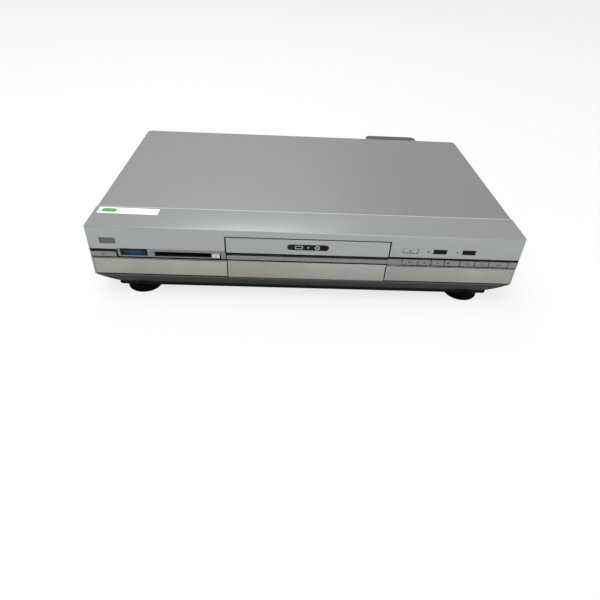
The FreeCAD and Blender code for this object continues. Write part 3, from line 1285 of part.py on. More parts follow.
def disc_clamp():
    """Round clamp that hangs in the bridge, with a recess for the turntable's cone."""
    cap_z = (BRIDGE_Z[1] + CLEAR / 2, BRIDGE_Z[1] + CLEAR / 2 + CLAMP_CAP)
    body_top = BRIDGE_Z[0] - CLEAR
    body = upright(CLAMP_RADIUS, 0, DISC_Y, (CLAMP_BOTTOM, body_top), TURNED_SIDES)
    neck = upright(CLAMP_NECK, 0, DISC_Y, (body_top, cap_z[0]), TURNED_SIDES)
    cap = upright(CLAMP_CAP_RADIUS, 0, DISC_Y, cap_z, TURNED_SIDES)
    recess_z = (CLAMP_BOTTOM - SHEET, CLAMP_BOTTOM + CLAMP_RECESS)
    recess = upright_bore(CONE_RADIUS + SHEET, 0, DISC_Y, recess_z, TURNED_SIDES)
    return cut(join([body, neck, cap]), [recess])


def hdd_bracket():
    """Folded steel bracket: a plate under the hard disc, two side lugs and four feet on the pan."""
    plate_z = (HDD_Z[0] - BRACKET_SHEET, HDD_Z[0])
    x = (HDD_X[0] - BRACKET_SHEET, HDD_X[1] + BRACKET_SHEET)
    pieces = [block(x, HDD_Y, plate_z)]
    lug_top = HDD_Z[0] + HDD_HEIGHT / 2
    for low in (x[0], HDD_X[1]):
        pieces.append(block((low, low + BRACKET_SHEET), HDD_Y, (plate_z[0], lug_top)))
    for leg_x in (x[0], x[1] - BRACKET_FOOT):
        for leg_y in (HDD_Y[0], HDD_Y[1] - BRACKET_SHEET):
            span = (leg_y, leg_y + BRACKET_SHEET)
            pieces.append(block((leg_x, leg_x + BRACKET_FOOT), span, (PAN_TOP, plate_z[0])))
    opening_y = around(middle(HDD_Y), HDD_LENGTH / 4)
    opening = block(around(HDD_MIDDLE, HDD_WIDTH / 4), opening_y, (plate_z[0] - SHEET, plate_z[1] + SHEET))
    return cut(join(pieces), [opening])


def hard_disc():
    """Sealed hard disc: cast body with rounded corners, a raised lid and a notch for its plugs."""
    body = rounded_plan(HDD_X, HDD_Y, (HDD_Z[0], HDD_Z[1] - SHEET), HDD_CORNER)
    margin = 2 * HDD_CORNER
    lid_y = (HDD_Y[0] + margin, HDD_Y[1] - margin)
    lid = block((HDD_X[0] + margin, HDD_X[1] - margin), lid_y, (HDD_Z[1] - SHEET, HDD_Z[1]))
    notch_y = (HDD_Y[1] - HDD_HEIGHT / 4, HDD_Y[1] + SHEET)
    notch_z = (HDD_Z[0] - SHEET, HDD_Z[0] + HDD_HEIGHT / 3)
    notch = block(around(HDD_MIDDLE, HDD_WIDTH / 3), notch_y, notch_z)
    return cut(join([body, lid]), [notch])


def power_board():
    """Power supply board on the pan's bridges."""
    return block(PSU_X, PSU_Y, CIRCUIT_Z)


def transformer():
    """Switching transformer: a ferrite core round a taped winding."""
    x = around(middle(PSU_X), TRANSFORMER_SIZE / 2)
    y = around(middle(PSU_Y), TRANSFORMER_SIZE / 2)
    base = CIRCUIT_Z[1]
    quarter = TRANSFORMER_HEIGHT / 4
    winding = block(x, y, (base, base + TRANSFORMER_HEIGHT))
    core_y = around(middle(y), TRANSFORMER_SIZE / 4)
    core = block((x[0] - quarter, x[1] + quarter), core_y, (base + SHEET, base + TRANSFORMER_HEIGHT + SHEET))
    return join([winding, core])


def capacitors():
    """Row of round capacitors along the front edge of the power board."""
    pieces = []
    x = PSU_X[0] + BRIDGE_LIFT
    y = PSU_Y[0] + max(CAPACITOR_RADII) + SHEET
    for radius, height in zip(CAPACITOR_RADII, CAPACITOR_HEIGHTS):
        pieces.append(upright(radius, x + radius, y, (CIRCUIT_Z[1], CIRCUIT_Z[1] + height), SMALL_SIDES))
        x += 2 * radius + 2 * SHEET
    return Part.makeCompound(pieces)


def heat_sink():
    """Finned aluminium heat sink at the right edge of the power board."""
    base = CIRCUIT_Z[1]
    x = PSU_X[1] - 2 * BRIDGE_LIFT
    y = around(middle(PSU_Y), SINK_LENGTH / 2)
    pieces = [block((x, x + FASCIA_WALL), y, (base, base + SINK_HEIGHT))]
    pitch = (SINK_LENGTH - FASCIA_WALL) / (SINK_FINS - 1)
    for index in range(SINK_FINS):
        fin_y = (y[0] + index * pitch, y[0] + index * pitch + FASCIA_WALL)
        pieces.append(block((x, x + 2 * BRIDGE_LIFT - SHEET), fin_y, (base, base + SINK_HEIGHT)))
    return join(pieces)


def main_board():
    """Main circuit board with its chips, notched round the legs of the drive."""
    board = block(MAIN_X, MAIN_Y, CIRCUIT_Z)
    high = CIRCUIT_Z[1] + SHEET
    notches = [block((x[0] - SHEET, x[1] + SHEET), (y[0] - SHEET, y[1] + SHEET), (PAN_TOP, high))
               for x, y in leg_spans()]
    chips = []
    chip_z = (CIRCUIT_Z[1], CIRCUIT_Z[1] + CHIP_HEIGHT)
    chip_y = MAIN_Y[0] + (MAIN_Y[1] - MAIN_Y[0]) / 3
    for index, share in enumerate(CHIP_SHARES):
        half = CHIP_SIZE / 2 if index % 2 == 0 else CHIP_SIZE / 3
        chip_x = MAIN_X[0] + (MAIN_X[1] - MAIN_X[0]) * share
        chips.append(block(around(chip_x, half), around(chip_y, half), chip_z))
    return join([cut(board, notches)] + chips)


def tuner_can():
    """Screened tuner with two threaded aerial sockets through the rear panel."""
    y = (PANEL_FRONT - TUNER_LENGTH, PANEL_FRONT)
    can = block(TUNER_X, y, TUNER_Z)
    end = PANEL_REAR + AERIAL_LENGTH
    sockets = [level(AERIAL_RADIUS, x, z, (y[1], end), SMALL_SIDES) for x, z in aerial_places()]
    hole_y = (PANEL_REAR, end + SHEET)
    holes = [level_bore(AERIAL_RADIUS / 4, x, z, hole_y, PIN_SIDES) for x, z in aerial_places()]
    return cut(join([can] + sockets), holes)


def aerial_places():
    """X and Z of the two aerial sockets."""
    return [(middle(TUNER_X), z) for z in around(middle(TUNER_Z), AERIAL_PITCH / 2)]


def jack_places():
    """X and Z of every phono socket in the rear panel."""
    base = CIRCUIT_Z[1] + JACK_PITCH_Z / 2
    return [(JACK_LEFT + column * JACK_PITCH_X, base + row * JACK_PITCH_Z)
            for column in range(JACK_COLUMNS) for row in range(JACK_ROWS)]


def rear_jacks():
    """Blocks of phono sockets on the main board, with their barrels through the rear panel."""
    pieces = []
    half = JACK_PITCH_Z / 2
    for column in range(JACK_COLUMNS):
        x = JACK_LEFT + column * JACK_PITCH_X
        z = (CIRCUIT_Z[1], CIRCUIT_Z[1] + JACK_ROWS * JACK_PITCH_Z)
        housing = block(around(x, half), (PANEL_FRONT - JACK_BODY_DEPTH, PANEL_FRONT), z)
        barrels = []
        sockets = []
        for x_jack, z_jack in jack_places():
            if abs(x_jack - x) < TINY:
                end = PANEL_REAR + JACK_LENGTH
                barrels.append(level(JACK_RADIUS, x, z_jack, (PANEL_FRONT, end), SMALL_SIDES))
                sockets.append(level_bore(JACK_BORE, x, z_jack, (PANEL_REAR, end + SHEET), PIN_SIDES))
        pieces.append(cut(join([housing] + barrels), sockets))
    return Part.makeCompound(pieces)


def ac_inlet():
    """Two-pin mains inlet in the rear panel, with a flange inside the wall."""
    x = around(INLET_X, INLET_WIDTH / 2)
    y = (PANEL_REAR - INLET_DEPTH, PANEL_REAR)
    body = block(x, y, INLET_Z)
    flange_x = (x[0] - INLET_FLANGE, x[1] + INLET_FLANGE)
    flange_z = (INLET_Z[0], INLET_Z[1] + INLET_FLANGE)
    flange = block(flange_x, (PANEL_FRONT - INLET_FLANGE, PANEL_FRONT), flange_z)
    wall = INLET_WALL
    cavity_y = (y[1] - INLET_CAVITY_DEPTH, y[1] + SHEET)
    cavity = block((x[0] + wall, x[1] - wall), cavity_y, (INLET_Z[0] + wall, INLET_Z[1] - wall))
    pin_y = (cavity_y[0], y[1] - FASCIA_WALL)
    pins = [level(INLET_PIN, pin_x, middle(INLET_Z), pin_y, PIN_SIDES)
            for pin_x in around(INLET_X, INLET_PIN_PITCH / 2)]
    return join([cut(join([body, flange]), [cavity])] + pins)


def fan_frame():
    """Square fan frame against the rear panel, with three struts that carry the motor cup."""
    y = (PANEL_REAR, PANEL_REAR + FAN_THICK)
    half = FAN_SIZE / 2
    frame = block(around(FAN_X, half), y, around(FAN_Z, half))
    duct = level_bore(FAN_BORE, FAN_X, FAN_Z, (y[0] - SHEET, y[1] + SHEET), TURNED_SIDES)
    back = (y[1] - SHEET, y[1])
    cup = level(FAN_HUB, FAN_X, FAN_Z, back, TURNED_SIDES)
    pin = level(SPINDLE_SHAFT, FAN_X, FAN_Z, (y[0] + 2 * SHEET, back[0]), SMALL_SIDES)
    struts = []
    for index in range(FAN_STRUTS):
        strut_z = (FAN_Z + FAN_HUB - SHEET, FAN_Z + FAN_BORE + SHEET)
        strut = block(around(FAN_X, FASCIA_WALL / 2), back, strut_z)
        strut.rotate(V(FAN_X, back[0], FAN_Z), V(0, 1, 0), index * 360 / FAN_STRUTS)
        struts.append(strut)
    return join([cut(frame, [duct]), cup, pin] + struts)


def fan_rotor():
    """Fan rotor: a hub and twisted blades, with a blind bore on the frame's pin."""
    y = (PANEL_REAR + SHEET, PANEL_REAR + FAN_THICK - SHEET - CLEAR)
    hub = level(FAN_HUB, FAN_X, FAN_Z, y, TURNED_SIDES)
    hole_y = (y[0] + SHEET - CLEAR, y[1] + SHEET)
    hole = level_bore(SPINDLE_SHAFT + RUN_FIT, FAN_X, FAN_Z, hole_y, SMALL_SIDES)
    blades = [fan_blade(y, index * 360 / FAN_BLADES) for index in range(FAN_BLADES)]
    return cut(join([hub] + blades), [hole])


def fan_blade(y, turn):
    """One pitched blade from inside the hub to the tip, turned round the fan's axis."""
    middle_y = middle(y)
    lean = math.radians(FAN_PITCH)
    chord = (y[1] - y[0]) / 2 - CLEAR
    along = V(math.sin(lean), math.cos(lean), 0) * (chord / math.cos(lean))
    across = V(math.cos(lean), -math.sin(lean), 0) * (SHEET / 2)
    tip = math.sqrt((FAN_BORE - FAN_TIP_GAP) ** 2 - (along.x + across.x) ** 2)
    root = V(FAN_X, middle_y, FAN_Z + FAN_HUB / 2)
    corners = [root + along + across, root - along + across, root - along - across, root + along - across]
    section = Part.Face(Part.makePolygon(corners + corners[:1]))
    blade = section.extrude(V(0, 0, tip - FAN_HUB / 2))
    blade.rotate(V(FAN_X, middle_y, FAN_Z), V(0, 1, 0), turn)
    return blade


def fan_cover():
    """Moulded fan cover on the rear panel, open to the back through a grille of bars."""
    x = (FAN_LEFT, FAN_LEFT + FAN_COVER_WIDTH)
    outer = block(x, (REAR_Y, FAN_END_Y), FAN_COVER_Z)
    outer = outer.makeFillet(FAN_COVER_CORNER, upright_edges(outer, FAN_END_Y))
    wall = FAN_COVER_WALL
    inner_z = (FAN_COVER_Z[0] + wall, FAN_COVER_Z[1] - wall)
    inner = block((x[0] + wall, x[1] - wall), (REAR_Y - SHEET, FAN_END_Y - wall), inner_z)
    inner = inner.makeFillet(FAN_COVER_CORNER - wall, upright_edges(inner, FAN_END_Y - wall))
    lip_top = HEIGHT - SHEET - CLEAR
    seat = block(x, (PANEL_REAR, REAR_Y), (FAN_COVER_Z[0], lip_top))
    seat_y = (PANEL_REAR - SHEET, REAR_Y + SHEET)
    seat_room = block((x[0] + wall, x[1] - wall), seat_y, (inner_z[0], lip_top + SHEET))
    slots = []
    pitch = (inner_z[1] - inner_z[0]) / GRILLE_BARS
    margin = FAN_COVER_CORNER + wall
    for index in range(GRILLE_BARS):
        z = inner_z[0] + (index + 0.5) * pitch
        slot_y = (FAN_END_Y - 2 * wall, FAN_END_Y + SHEET)
        slots.append(block((x[0] + margin, x[1] - margin), slot_y, around(z, pitch / 4)))
    return cut(join([outer.cut(inner), seat.cut(seat_room)]), slots)


def feet():
    """Four round feet with a bevelled lower edge."""
    pieces = []
    for x, y in FEET:
        outlines = [round_outline(x, y, 0.0, FOOT_RADIUS - FOOT_ROUND),
                    round_outline(x, y, FOOT_ROUND, FOOT_RADIUS),
                    round_outline(x, y, FOOT_HEIGHT, FOOT_RADIUS)]
        pieces.append(Part.makeLoft(outlines, True, True))
    return Part.makeCompound(pieces)


def round_outline(x, y, z, radius):
    """Regular outline that stands for a circle at one height."""
    corners = []
    for angle in flats(FOOT_SIDES):
        corners.append(V(x + radius * math.cos(angle), y + radius * math.sin(angle), z))
    return Part.makePolygon(corners + corners[:1])


def screw_places():
    """Where each cover screw meets the cover, with the way out of it."""
    z = FOOT_HEIGHT + PAN_FLANGE / 2 + SHEET
    side_ys = (FASCIA_REAR + SCREW_SETBACK, REAR_Y - LOUVRE_REAR)
    places = [(V(side * COVER_X, y, z), V(side, 0, 0)) for side in (-1, 1) for y in side_ys]
    for x in (-REAR_SCREW_SHARE * END_X, 0.0):
        places.append((V(x, REAR_Y, HEIGHT - COVER_LIP / 2), V(0, 1, 0)))
    return places


def screw_dimples():
    """Shallow dimples in the cover that the screw heads sit in."""
    return [bore(SCREW_HEAD + CLEAR, at - out * SCREW_DIMPLE, at + out * SHEET, PIN_SIDES)
            for at, out in screw_places()]


def screw_holes():
    """Holes for the screws through the cover and the wall behind it."""
    return [bore(SCREW_SHANK + RUN_FIT, at - out * SCREW_LENGTH, at, PIN_SIDES) for at, out in screw_places()]


def cover_screws():
    """Screws that hold the cover at its sides and at its rear lip, their low heads in dimples."""
    screws = []
    for at, out in screw_places():
        seat = at - out * SCREW_DIMPLE
        head = rod(SCREW_HEAD, seat, at + out * COVER_INSET, SMALL_SIDES)
        screws.append(join([head, rod(SCREW_SHANK, at - out * SCREW_LENGTH, seat, PIN_SIDES)]))
    return Part.makeCompound(screws)


def parts():
    """Every piece by the name of its file."""
    made = {
        "base_pan": base_pan(), "rear_panel": rear_panel(), "top_cover": top_cover(),
        "front_fascia": front_fascia(), "inner_frame": inner_frame(), "lower_trim": lower_trim(),
        "key_row_trims": key_row_trims(), "card_bezel": card_bezel(), "sensor_window": sensor_window(),
        "display_window": display_window(), "left_flap": mirror_flap(-1), "right_flap": mirror_flap(1),
        "memory_card_door": memory_card_door(), "card_reader": card_reader(), "front_jacks": front_jacks(),
        "switch_board": switch_board(), "display_module": display_module(),
        "tray_door": tray_door(), "disc_tray": disc_tray(), "loading_gear": loading_gear(),
        "motor_pulley": motor_pulley(), "loading_motor": loading_motor(), "drive_belt": drive_belt(),
        "drive_frame": drive_frame(), "traverse_deck": traverse_deck(), "guide_rods": guide_rods(),
        "pickup_sled": pickup_sled(), "lead_screw": lead_screw(), "feed_motor": feed_motor(),
        "spindle_motor": spindle_motor(), "turntable": turntable(), "clamp_bridge": clamp_bridge(),
        "disc_clamp": disc_clamp(), "hdd_bracket": hdd_bracket(), "hard_disc": hard_disc(),
        "power_board": power_board(), "transformer": transformer(), "capacitors": capacitors(),
        "heat_sink": heat_sink(), "main_board": main_board(), "tuner_can": tuner_can(),
        "rear_jacks": rear_jacks(), "ac_inlet": ac_inlet(), "fan_frame": fan_frame(),
        "fan_rotor": fan_rotor(), "fan_cover": fan_cover(), "feet": feet(), "cover_screws": cover_screws(),
    }
    made.update({name: key(name) for name in all_keys()})
    return made


os.makedirs("parts", exist_ok=True)
for node, shape in parts().items():
    shape.exportStep("parts/" + node + ".step")
    print(node, len(shape.Solids), "solids", "valid" if shape.isValid() else "INVALID")
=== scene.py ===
import json
import math

import bmesh
import bpy
import numpy as np
from mathutils import Matrix, Vector

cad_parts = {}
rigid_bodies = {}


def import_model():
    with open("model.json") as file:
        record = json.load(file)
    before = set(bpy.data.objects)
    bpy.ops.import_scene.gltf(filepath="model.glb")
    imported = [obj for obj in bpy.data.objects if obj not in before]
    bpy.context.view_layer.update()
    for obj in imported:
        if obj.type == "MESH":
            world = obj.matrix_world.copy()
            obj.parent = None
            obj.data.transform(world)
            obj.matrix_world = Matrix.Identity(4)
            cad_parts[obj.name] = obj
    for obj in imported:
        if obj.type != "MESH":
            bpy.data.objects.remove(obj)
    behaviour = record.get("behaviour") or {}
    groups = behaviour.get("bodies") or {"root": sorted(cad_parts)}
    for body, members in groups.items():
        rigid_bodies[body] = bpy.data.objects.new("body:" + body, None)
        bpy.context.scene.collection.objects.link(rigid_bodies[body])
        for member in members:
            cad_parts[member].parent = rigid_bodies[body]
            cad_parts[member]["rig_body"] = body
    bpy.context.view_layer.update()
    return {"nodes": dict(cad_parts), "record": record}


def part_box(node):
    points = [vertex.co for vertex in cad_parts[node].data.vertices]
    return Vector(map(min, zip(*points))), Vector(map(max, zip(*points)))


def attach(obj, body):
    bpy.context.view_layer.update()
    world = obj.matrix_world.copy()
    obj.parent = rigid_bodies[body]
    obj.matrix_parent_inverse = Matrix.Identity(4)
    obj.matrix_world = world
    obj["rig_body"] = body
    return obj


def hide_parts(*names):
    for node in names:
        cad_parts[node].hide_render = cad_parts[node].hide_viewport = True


# The dressed disc recorder: finishes for every solid, finer surfaces for the front, feet and back,
# and a plain studio. Metres, in the solids' own frame: X to the right, Y to the back, Z up.

MM = 0.001
PRINT = 0.03
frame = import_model()
nodes = frame["nodes"]


def shade(red, green, blue):
    """A colour as it is written on screen, 0 to 255, made linear."""
    scaled = np.array([red, green, blue]) / 255.0
    return tuple(np.where(scaled <= 0.04045, scaled / 12.92, ((scaled + 0.055) / 1.055) ** 2.4))


def grey(level):
    return shade(level, level, level)


class Signal:
    """One output of a node. Arithmetic on signals adds their Math nodes."""

    def __init__(self, finish, socket):
        self.finish = finish
        self.socket = socket

    def maths(self, operation, first, second=0.0, third=0.0):
        made = self.finish.tree.nodes.new("ShaderNodeMath")
        made.operation = operation
        for place, value in enumerate((first, second, third)):
            self.finish.feed(made.inputs[place], value)
        return Signal(self.finish, made.outputs[0])

    def __add__(self, other):
        return self.maths("ADD", self, other)

    def __sub__(self, other):
        return self.maths("SUBTRACT", self, other)

    def __mul__(self, other):
        return self.maths("MULTIPLY", self, other)

    def __truediv__(self, other):
        return self.maths("DIVIDE", self, other)

    def __pow__(self, other):
        return self.maths("POWER", self, other)

    def __gt__(self, other):
        return self.maths("GREATER_THAN", self, other)

    def __lt__(self, other):
        return self.maths("LESS_THAN", self, other)

    def within(self, other):
        return self.maths("PINGPONG", self, other)

    def least(self, other):
        return self.maths("MINIMUM", self, other)

    def most(self, other):
        return self.maths("MAXIMUM", self, other)

    def clipped(self):
        return self.most(0.0).least(1.0)


class Finish:
    """One material. node() adds any node that isn't a Math node, and gives the output asked for."""

    def __init__(self, name, colour, roughness=0.5, metallic=0.0, **sockets):
        self.material = bpy.data.materials.new(name)
        self.material.use_nodes = True
        self.tree = self.material.node_tree
        self.shader = self.tree.nodes["Principled BSDF"]
        self.place = self.node("ShaderNodeTexCoord", out="Object")
        self.set("Base Color", colour)
        self.set("Roughness", roughness)
        self.set("Metallic", metallic)
        for socket, value in sockets.items():
            self.set(socket.replace("_", " "), value)

    def feed(self, socket, value):
        if isinstance(value, Signal):
            self.tree.links.new(value.socket, socket)
        elif socket.type == "RGBA":
            socket.default_value = (*value, 1.0)
        else:
            socket.default_value = value

    def set(self, socket, value):
        self.feed(self.shader.inputs[socket], value)
        return self

    def node(self, kind, settings=None, inputs=None, out=0):
        made = self.tree.nodes.new(kind)
        for key, value in (settings or {}).items():
            if key == "stops":
                self.stops(made.color_ramp, value)
            else:
                setattr(made, key, value)
        for key, value in (inputs or {}).items():
            self.feed(made.inputs[key], value)
        return Signal(self, made.outputs[out])

    @staticmethod
    def stops(ramp, stops):
        """Each stop is (place, colour)."""
        while len(ramp.elements) < len(stops):
            ramp.elements.new(0.5)
        for element, (place, colour) in zip(ramp.elements, stops):
            element.position = place
            element.color = (*colour, 1.0)

    def noise(self, per_metre, detail=2.0, stretch=(1, 1, 1)):
        """Cloudy noise from 0 to 1, with about per_metre blotches in a metre."""
        place = self.node("ShaderNodeMapping", None, {"Vector": self.place, "Scale": stretch})
        return self.node("ShaderNodeTexNoise", None,
                         {"Vector": place, "Scale": per_metre, "Detail": detail})

    def cells(self, per_metre, out="Distance", settings=None):
        return self.node("ShaderNodeTexVoronoi", settings,
                         {"Vector": self.place, "Scale": per_metre}, out)

    def axes(self):
        """The point's X, Y and Z in metres."""
        parts = self.node("ShaderNodeSeparateXYZ", None, {"Vector": self.place}).socket.node
        return [Signal(self, parts.outputs[axis]) for axis in range(3)]

    def mix(self, share, first, second):
        """first where share is 0, second where it is 1, for colours."""
        return self.node("ShaderNodeMix", {"data_type": "RGBA"}, {0: share, 6: first, 7: second}, 2)

    def bump(self, height, depth, strength=1.0):
        """Height from 0 to 1 stands depth metres proud."""
        normal = self.node("ShaderNodeBump", None,
                           {"Height": height, "Distance": depth, "Strength": strength})
        return self.set("Normal", normal)


def spread(finish, colour, amount, per_metre):
    """Lets the colour wander by that share of itself, in blotches."""
    low = tuple(value * (1 - amount) for value in colour)
    high = tuple(min(1.0, value * (1 + amount)) for value in colour)
    finish.set("Base Color", finish.mix(finish.noise(per_metre), low, high))


def paint(name, colour, roughness, metallic, flake=1400.0):
    """Sprayed metallic paint: fine flakes that catch the light one by one, a little orange peel,
    and cloudy patches where it was handled."""
    finish = Finish(name, colour, roughness, metallic)
    grains = finish.cells(flake, "Color")
    sparkle = finish.node("ShaderNodeSeparateColor", None, {"Color": grains}, 0)
    cloud = finish.noise(9.0, 3.0)
    tone = (sparkle - 0.5) * 0.10 + (cloud - 0.5) * 0.05 + 0.5
    low = tuple(value * 0.82 for value in colour)
    high = tuple(min(1.0, value * 1.18) for value in colour)
    finish.set("Base Color", finish.mix(tone.clipped(), low, high))
    finish.set("Roughness", (finish.noise(60.0, 4.0) - 0.5) * 0.12 + (sparkle - 0.5) * 0.10 + roughness)
    finish.bump(finish.noise(flake * 0.5, 2.0), 0.00002, 0.35)
    return finish


def moulding(name, colour, roughness, grain=2600.0, depth=0.00002):
    """Moulded plastic: a fine spark-eroded grain, with slight differences in gloss."""
    finish = Finish(name, colour, roughness)
    spread(finish, colour, 0.05, 45.0)
    finish.set("Roughness", (finish.noise(140.0, 3.0) - 0.5) * 0.14 + roughness)
    finish.bump(finish.noise(grain, 2.0), depth, 0.4)
    return finish


def plate(name, colour, roughness, spangle=320.0, stretch=(1, 1, 1)):
    """Zinc-plated or rolled steel: spangles of slightly different brightness, and rolling lines."""
    finish = Finish(name, colour, roughness, 1.0)
    crystal = finish.node("ShaderNodeSeparateColor", None, {"Color": finish.cells(spangle, "Color")}, 0)
    rolled = finish.noise(900.0, 2.0, stretch)
    tone = ((crystal - 0.5) * 0.35 + (rolled - 0.5) * 0.3 + 0.5).clipped()
    low = tuple(value * 0.8 for value in colour)
    high = tuple(min(1.0, value * 1.2) for value in colour)
    finish.set("Base Color", finish.mix(tone, low, high))
    finish.set("Roughness", (tone - 0.5) * 0.2 + roughness)
    finish.bump(rolled, 0.00002, 0.25)
    return finish


def circuit(name, colour):
    """A lacquered circuit board: tracks under the lacquer on a fine square lattice, and tinned dots."""
    finish = Finish(name, colour, 0.32)
    along, across, _ = finish.axes()
    lattice = (along * 392.0).within(0.5).least((across * 392.0).within(0.5))
    patches = finish.node("ShaderNodeSeparateColor", None,
                          {"Color": finish.cells(130.0, "Color", {"distance": "CHEBYCHEV"})}, 0)
    track = (lattice < 0.13) * (patches > 0.45)
    dots = finish.cells(260.0, "Distance", {"distance": "EUCLIDEAN"}) < 0.16
    lighter = tuple(min(1.0, value * 1.9 + 0.01) for value in colour)
    lacquered = finish.mix(track, colour, lighter)
    finish.set("Base Color", finish.mix(dots * 0.8, lacquered, grey(190)))
    finish.set("Metallic", dots * 0.8)
    finish.bump(track, 0.00003, 0.4)
    return finish


# Finishes

FINE_FLAKE = 1900.0
DULL = 0.12

cover_paint = paint("cover_paint", shade(139, 142, 139), 0.42, 0.45)
front_paint = paint("front_paint", shade(153, 157, 155), 0.36, 0.45, FINE_FLAKE)
strip_paint = paint("strip_paint", shade(121, 124, 122), 0.3, 0.6, FINE_FLAKE)
band_plastic = moulding("band_plastic", grey(118), 0.42)
dark_key_plastic = moulding("dark_key_plastic", grey(8), 0.45).set("Specular IOR Level", DULL)
black_plastic = moulding("black_plastic", grey(7), 0.6).set("Specular IOR Level", DULL)
grey_plastic = moulding("grey_plastic", grey(96), 0.5)
white_plastic = moulding("white_plastic", shade(214, 212, 204), 0.42)
fan_plastic = moulding("fan_plastic", grey(70), 0.5)
pan_paint = moulding("pan_paint", grey(6), 0.6).set("Specular IOR Level", DULL)
foot_rubber = moulding("foot_rubber", grey(3), 0.8, 1500.0, 0.00004).set("Specular IOR Level", 0.05)
belt_rubber = moulding("belt_rubber", grey(16), 0.7, 3000.0, 0.00003)
sleeve_plastic = moulding("sleeve_plastic", shade(22, 26, 48), 0.35)
ferrite = moulding("ferrite", grey(58), 0.6, 1800.0, 0.00005)
zinc_steel = plate("zinc_steel", grey(176), 0.34)
bright_steel = plate("bright_steel", grey(205), 0.18, 200.0, (1, 14, 1))
cast_metal = plate("cast_metal", grey(150), 0.5, 700.0)
fin_metal = plate("fin_metal", grey(188), 0.36, 260.0, (1, 1, 12))
screw_metal = plate("screw_metal", grey(150), 0.3, 1500.0)
green_board = circuit("green_board", shade(24, 70, 40))


def chin_with_painted_shade():
    """Silver paint with painted shade: the tone follows height and darkens towards the floor."""
    lowest, deep = 0.0135, 0.011
    finish = paint("chin_paint_with_painted_shade", shade(60, 64, 65), 0.3, 0.6, FINE_FLAKE)
    _, _, height = finish.axes()
    rise = ((height - lowest) / deep).clipped()
    # painted shade: near black at the floor, lighter silver at the top of the chin
    tone = finish.node("ShaderNodeValToRGB", {"stops": (
        (0.0, shade(10, 11, 12)), (0.45, shade(30, 33, 34)), (0.88, shade(58, 62, 63)),
        (1.0, shade(92, 96, 96)))}, {"Fac": rise})
    return finish.set("Base Color", tone)


def mirror():
    """Vacuum-metallised plastic: almost a mirror, with a long shallow wave from moulding, faint haze
    and a few fine wipe marks."""
    finish = Finish("mirror_metal", shade(152, 152, 144), 0.05, 1.0)
    haze = finish.noise(26.0, 4.0)
    wipes = finish.noise(300.0, 2.0, (0.25, 1, 6))
    finish.set("Base Color", finish.mix(haze, shade(142, 142, 134), shade(162, 162, 154)))
    finish.set("Roughness", (haze - 0.35).most(0.0) * 0.10 + (wipes > 0.64) * 0.05 + 0.035)
    finish.bump(finish.noise(16.0, 1.0), 0.0008, 0.25)
    return finish


def smoked(name, colour, roughness=0.12):
    """Dark transparent plastic seen from in front: a deep tone under a clear gloss, a little dust."""
    finish = Finish(name, colour, roughness, Specular_IOR_Level=0.3)
    dust = finish.noise(120.0, 5.0)
    finish.set("Base Color", finish.mix((dust - 0.5).most(0.0) * 0.2, colour, grey(110)))
    finish.set("Roughness", (dust - 0.4).most(0.0) * 0.3 + roughness)
    return finish


def blue_door_with_painted_light():
    """Blue translucent plastic, with a painted sheen in the middle and painted shade towards its edges."""
    low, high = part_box("memory_card_door")
    finish = smoked("door_blue_painted_light", shade(14, 58, 104), 0.16)
    along, _, height = finish.axes()
    aside = ((along - (low.x + high.x) / 2) / ((high.x - low.x) / 2)) ** 2.0
    above = ((height - (low.z + high.z) / 2) / ((high.z - low.z) / 2)) ** 2.0
    # painted light: lighter in the middle, darker towards the edges
    tone = finish.node("ShaderNodeValToRGB", {"stops": (
        (0.0, shade(13, 68, 100)), (0.4, shade(6, 35, 58)), (0.85, shade(2, 8, 16)))},
        {"Fac": (aside * 0.6 + above * 0.7).clipped()})
    finish.set("Specular IOR Level", DULL)
    return finish.set("Base Color", tone)


chin_paint_with_painted_shade = chin_with_painted_shade()
mirror_metal = mirror()
sensor_plastic = smoked("sensor_plastic", grey(85), 0.2)
display_glass = smoked("display_glass", shade(18, 24, 28))
door_blue_painted_light = blue_door_with_painted_light()

ink = moulding("ink", grey(34), 0.6)
eject_plastic = moulding("eject_plastic", shade(190, 192, 188), 0.4)
pale_ink = moulding("pale_ink", grey(170), 0.5)
badge_black = smoked("badge_black", grey(12), 0.3).set("Specular IOR Level", DULL)
paper = moulding("paper", grey(246), 0.8, 900.0)
green_ink = moulding("green_ink", shade(40, 160, 70), 0.6)
yellow_plastic = moulding("yellow_plastic", shade(222, 176, 24), 0.4)
red_plastic = moulding("red_plastic", shade(176, 28, 26), 0.4)
orange_plastic = moulding("orange_plastic", shade(216, 104, 24), 0.4)
# pale colour for the painted highlight along the cover's seam
seam_highlight_white = Finish("seam_highlight_white", grey(226), 0.45)

SLOT_FINISHES = {
    "silver_cover": cover_paint,
    "silver_front": front_paint,
    "mirror_band": mirror_metal,
    "strip_silver": strip_paint,
    "band_grey": band_plastic,
    "dark_key": dark_key_plastic,
    "sensor_grey": sensor_plastic,
    "blue_window": door_blue_painted_light,
    "black_moulding": black_plastic,
    "chin_silver": chin_paint_with_painted_shade,
    "steel": zinc_steel,
    "pan_black": pan_paint,
    "rubber_black": foot_rubber,
    "board_green": green_board,
    "display_glass": display_glass,
    "grey_moulding": grey_plastic,
    "white_moulding": white_plastic,
    "belt_rubber": belt_rubber,
    "polished_steel": bright_steel,
    "cast_grey": cast_metal,
    "fin_aluminium": fin_metal,
    "sleeve": sleeve_plastic,
    "ferrite": ferrite,
    "fan_grey": fan_plastic,
    "screw_steel": screw_metal,
}


def dress(solid, finish):
    """Gives a solid's mesh one finish, whatever it came with."""
    solid.data.materials.clear()
    solid.data.materials.append(finish.material)


slots = {entry["node"]: entry["material_slot"] for entry in frame["record"]["subparts"]}
for name, solid in nodes.items():
    dress(solid, SLOT_FINISHES[slots[name]])


# Making of pieces

def bring(name, mesh, body, finish):
    """Puts a finished mesh into the scene as a piece that rides on a body."""
    piece = bpy.data.objects.new(name, mesh)
    bpy.context.scene.collection.objects.link(piece)
    dress(piece, finish)
    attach(piece, body)
    return piece


